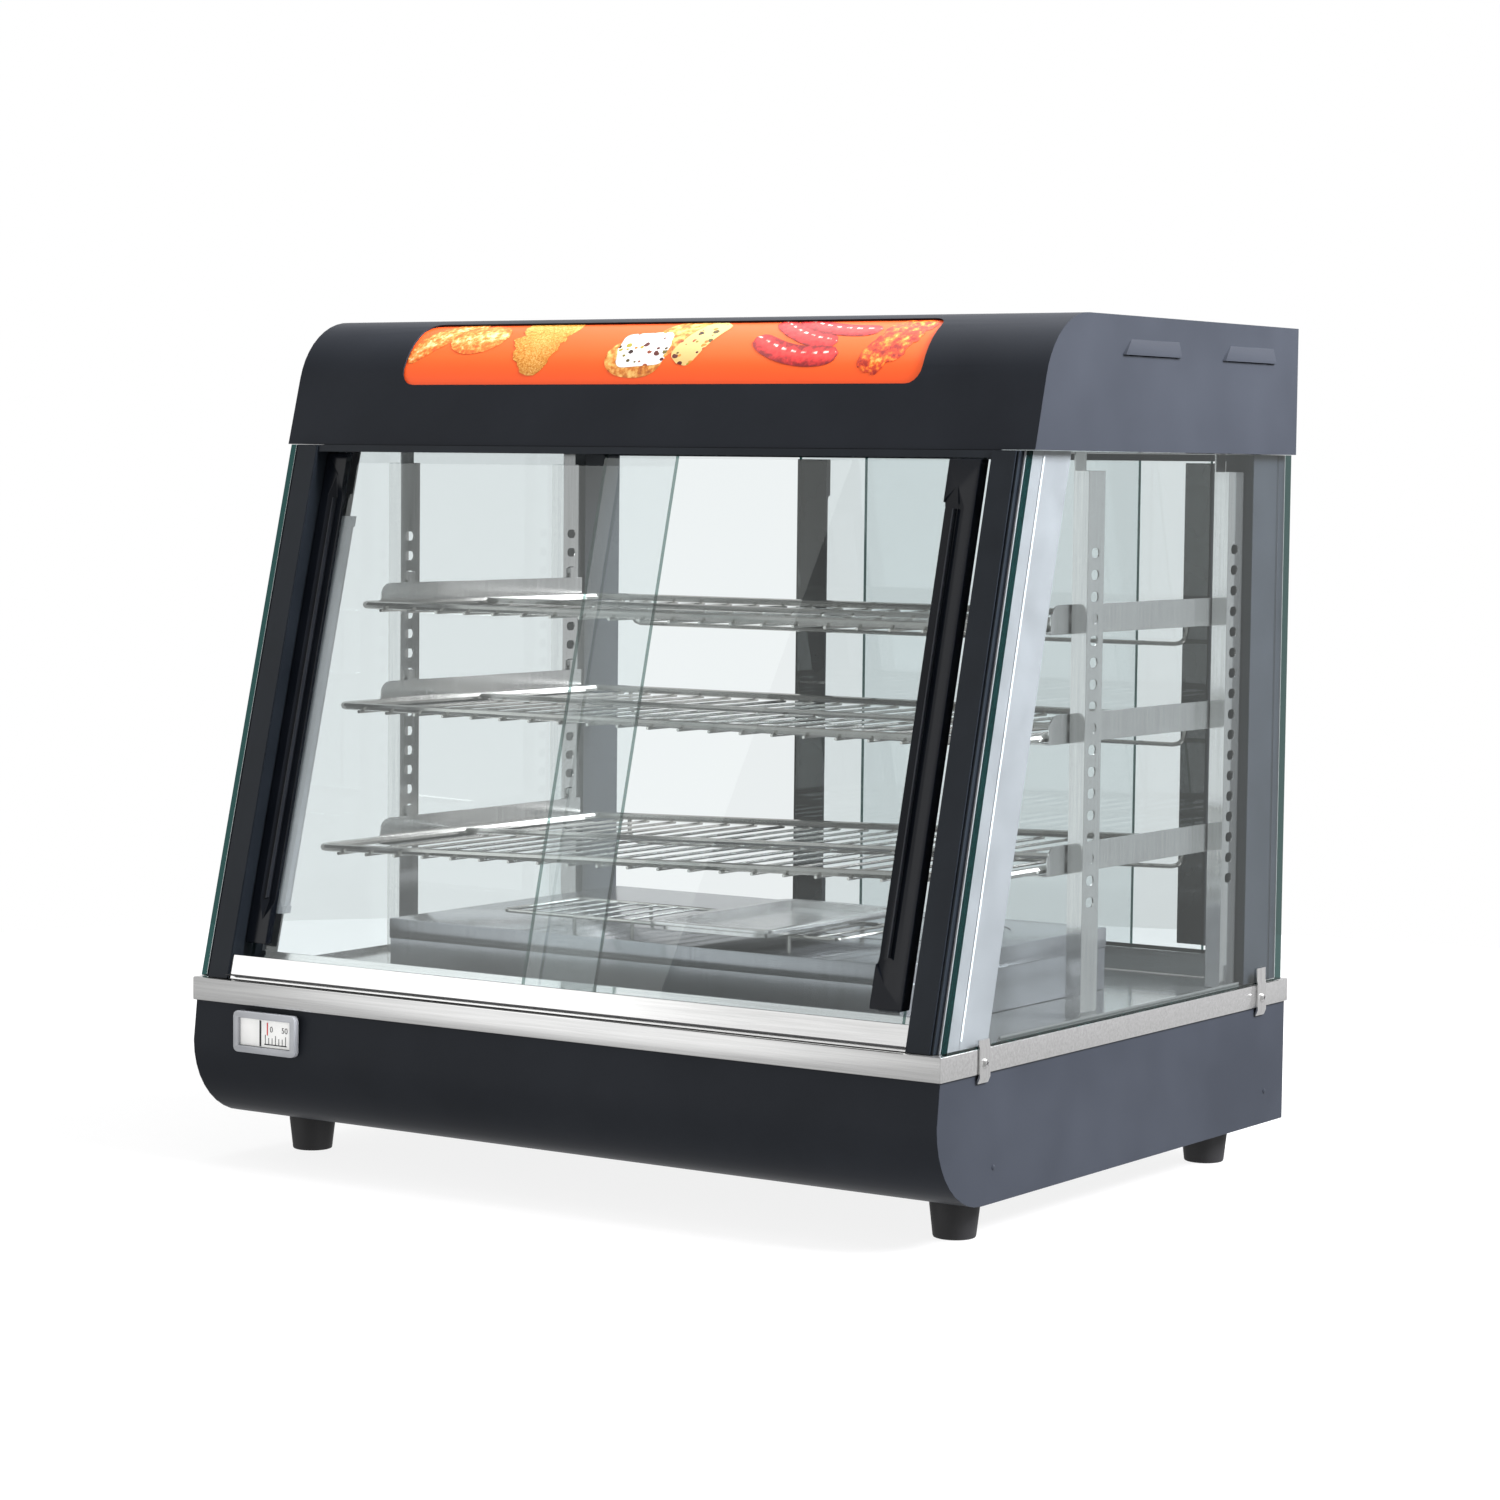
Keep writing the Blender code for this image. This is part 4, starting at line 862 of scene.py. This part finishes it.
def add_screws():
    """Screw heads in the ceiling panel, and painted shade standing in for the cross recess of each glass
    clip's screw.
    """
    heads, recess_shades = bmesh.new(), bmesh.new()
    for place in ("front", "rear"):
        for side_name, side in SIDES:
            low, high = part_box(f"glass_clip_{place}_{side_name}")
            crown = (high.x if side > 0 else low.x, (low.y + high.y) / 2, low.z + CLIP_SCREW_RISE)
            cross_recess_shade(recess_shades, crown, (side, 0, 0))
    behind_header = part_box("front_header")[1].y + CEILING_SCREW_BACK
    for _, side in SIDES:
        base = (side * CEILING_SCREW_X, behind_header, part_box("ceiling_panel")[0].z)
        turned(heads, base, (0, 0, -1), CEILING_SCREW_PROFILE, 20)
    new_piece("ceiling_screws", heads, STEEL_SIDE)
    new_piece("screw_recess_shade", recess_shades, RUBBER, smooth=False)


def add_grip_rib_highlights():
    """The fine rib down the middle of each front grip's finger groove, in a lighter moulding as a painted
    highlight where the groove's facets meet.
    """
    for side_name, side in SIDES:
        low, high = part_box(f"front_{side_name}_handle")
        inwards = (high.x - low.x) * GROOVE_PLACES[side_name]
        x = high.x - inwards if side < 0 else low.x + inwards
        front = low.y - SLOPE * (low.z - DECK_TOP)
        bm = bmesh.new()
        leaning_bar(bm, (x - RIB_HALF, x + RIB_HALF), [front + depth for depth in RIB_DEPTHS],
                    (low.z + RIB_END_GAP, high.z - RIB_END_GAP))
        # the rib's lighter moulding is a painted highlight
        new_piece(f"grip_rib_highlight_{side_name}", bm, SLATE, f"front_{side_name}_door", False)


def add_dark_strip(name, node, ys, zs):
    """A thin dark strip as long as a CAD node, but for a small gap at each end."""
    low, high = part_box(node)
    bm = bmesh.new()
    rounded_block(bm, (low.x + STRIP_END_GAP, ys[0], zs[0]), (high.x - STRIP_END_GAP, ys[1], zs[1]), STRIP_ROUND)
    new_piece(name, bm, RUBBER, smooth=False)


def add_dark_strips():
    """One dark strip closes the header to the canopy's edge; the other, painted shadow, lies along the front
    sill's foot.
    """
    header_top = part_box("front_header")[1].z
    sill_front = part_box("front_sill")[0].y
    deck_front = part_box("deck_trim")[0].y
    add_dark_strip("header_seal", "front_header", (CANOPY_LOW.y + 3 * MM, CANOPY_LOW.y + 12 * MM),
             (header_top + 0.02 * MM, CANOPY_LOW.z + 0.2 * MM))
    # painted shadow: a thin dark strip where the front sill meets the deck trim
    add_dark_strip("sill_shadow_strip", "front_sill", (deck_front + 0.6 * MM, sill_front - 0.05 * MM),
             (DECK_TOP + 0.02 * MM, DECK_TOP + 0.4 * MM))


def add_liner_fold_highlights():
    """Painted highlight: a light strip along the fold that runs up each post liner."""
    for side_name, side in SIDES:
        low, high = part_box(f"post_liner_{side_name}")
        x = high.x if side > 0 else low.x
        bm = bmesh.new()
        leaning_bar(bm, [x + offset for offset in FOLD_XS], [low.y + depth for depth in FOLD_DEPTHS],
                    (low.z + FOLD_FOOT_GAP, high.z - FOLD_TOP_GAP))
        new_piece(f"liner_fold_highlight_{side_name}", bm, FOLD_HIGHLIGHT, smooth=False)


dress_cad_nodes()
add_sign_pictures()
add_thermometer_face()
add_rivets()
add_screws()
add_grip_rib_highlights()
add_dark_strips()
add_liner_fold_highlights()
add_camera()
add_studio()
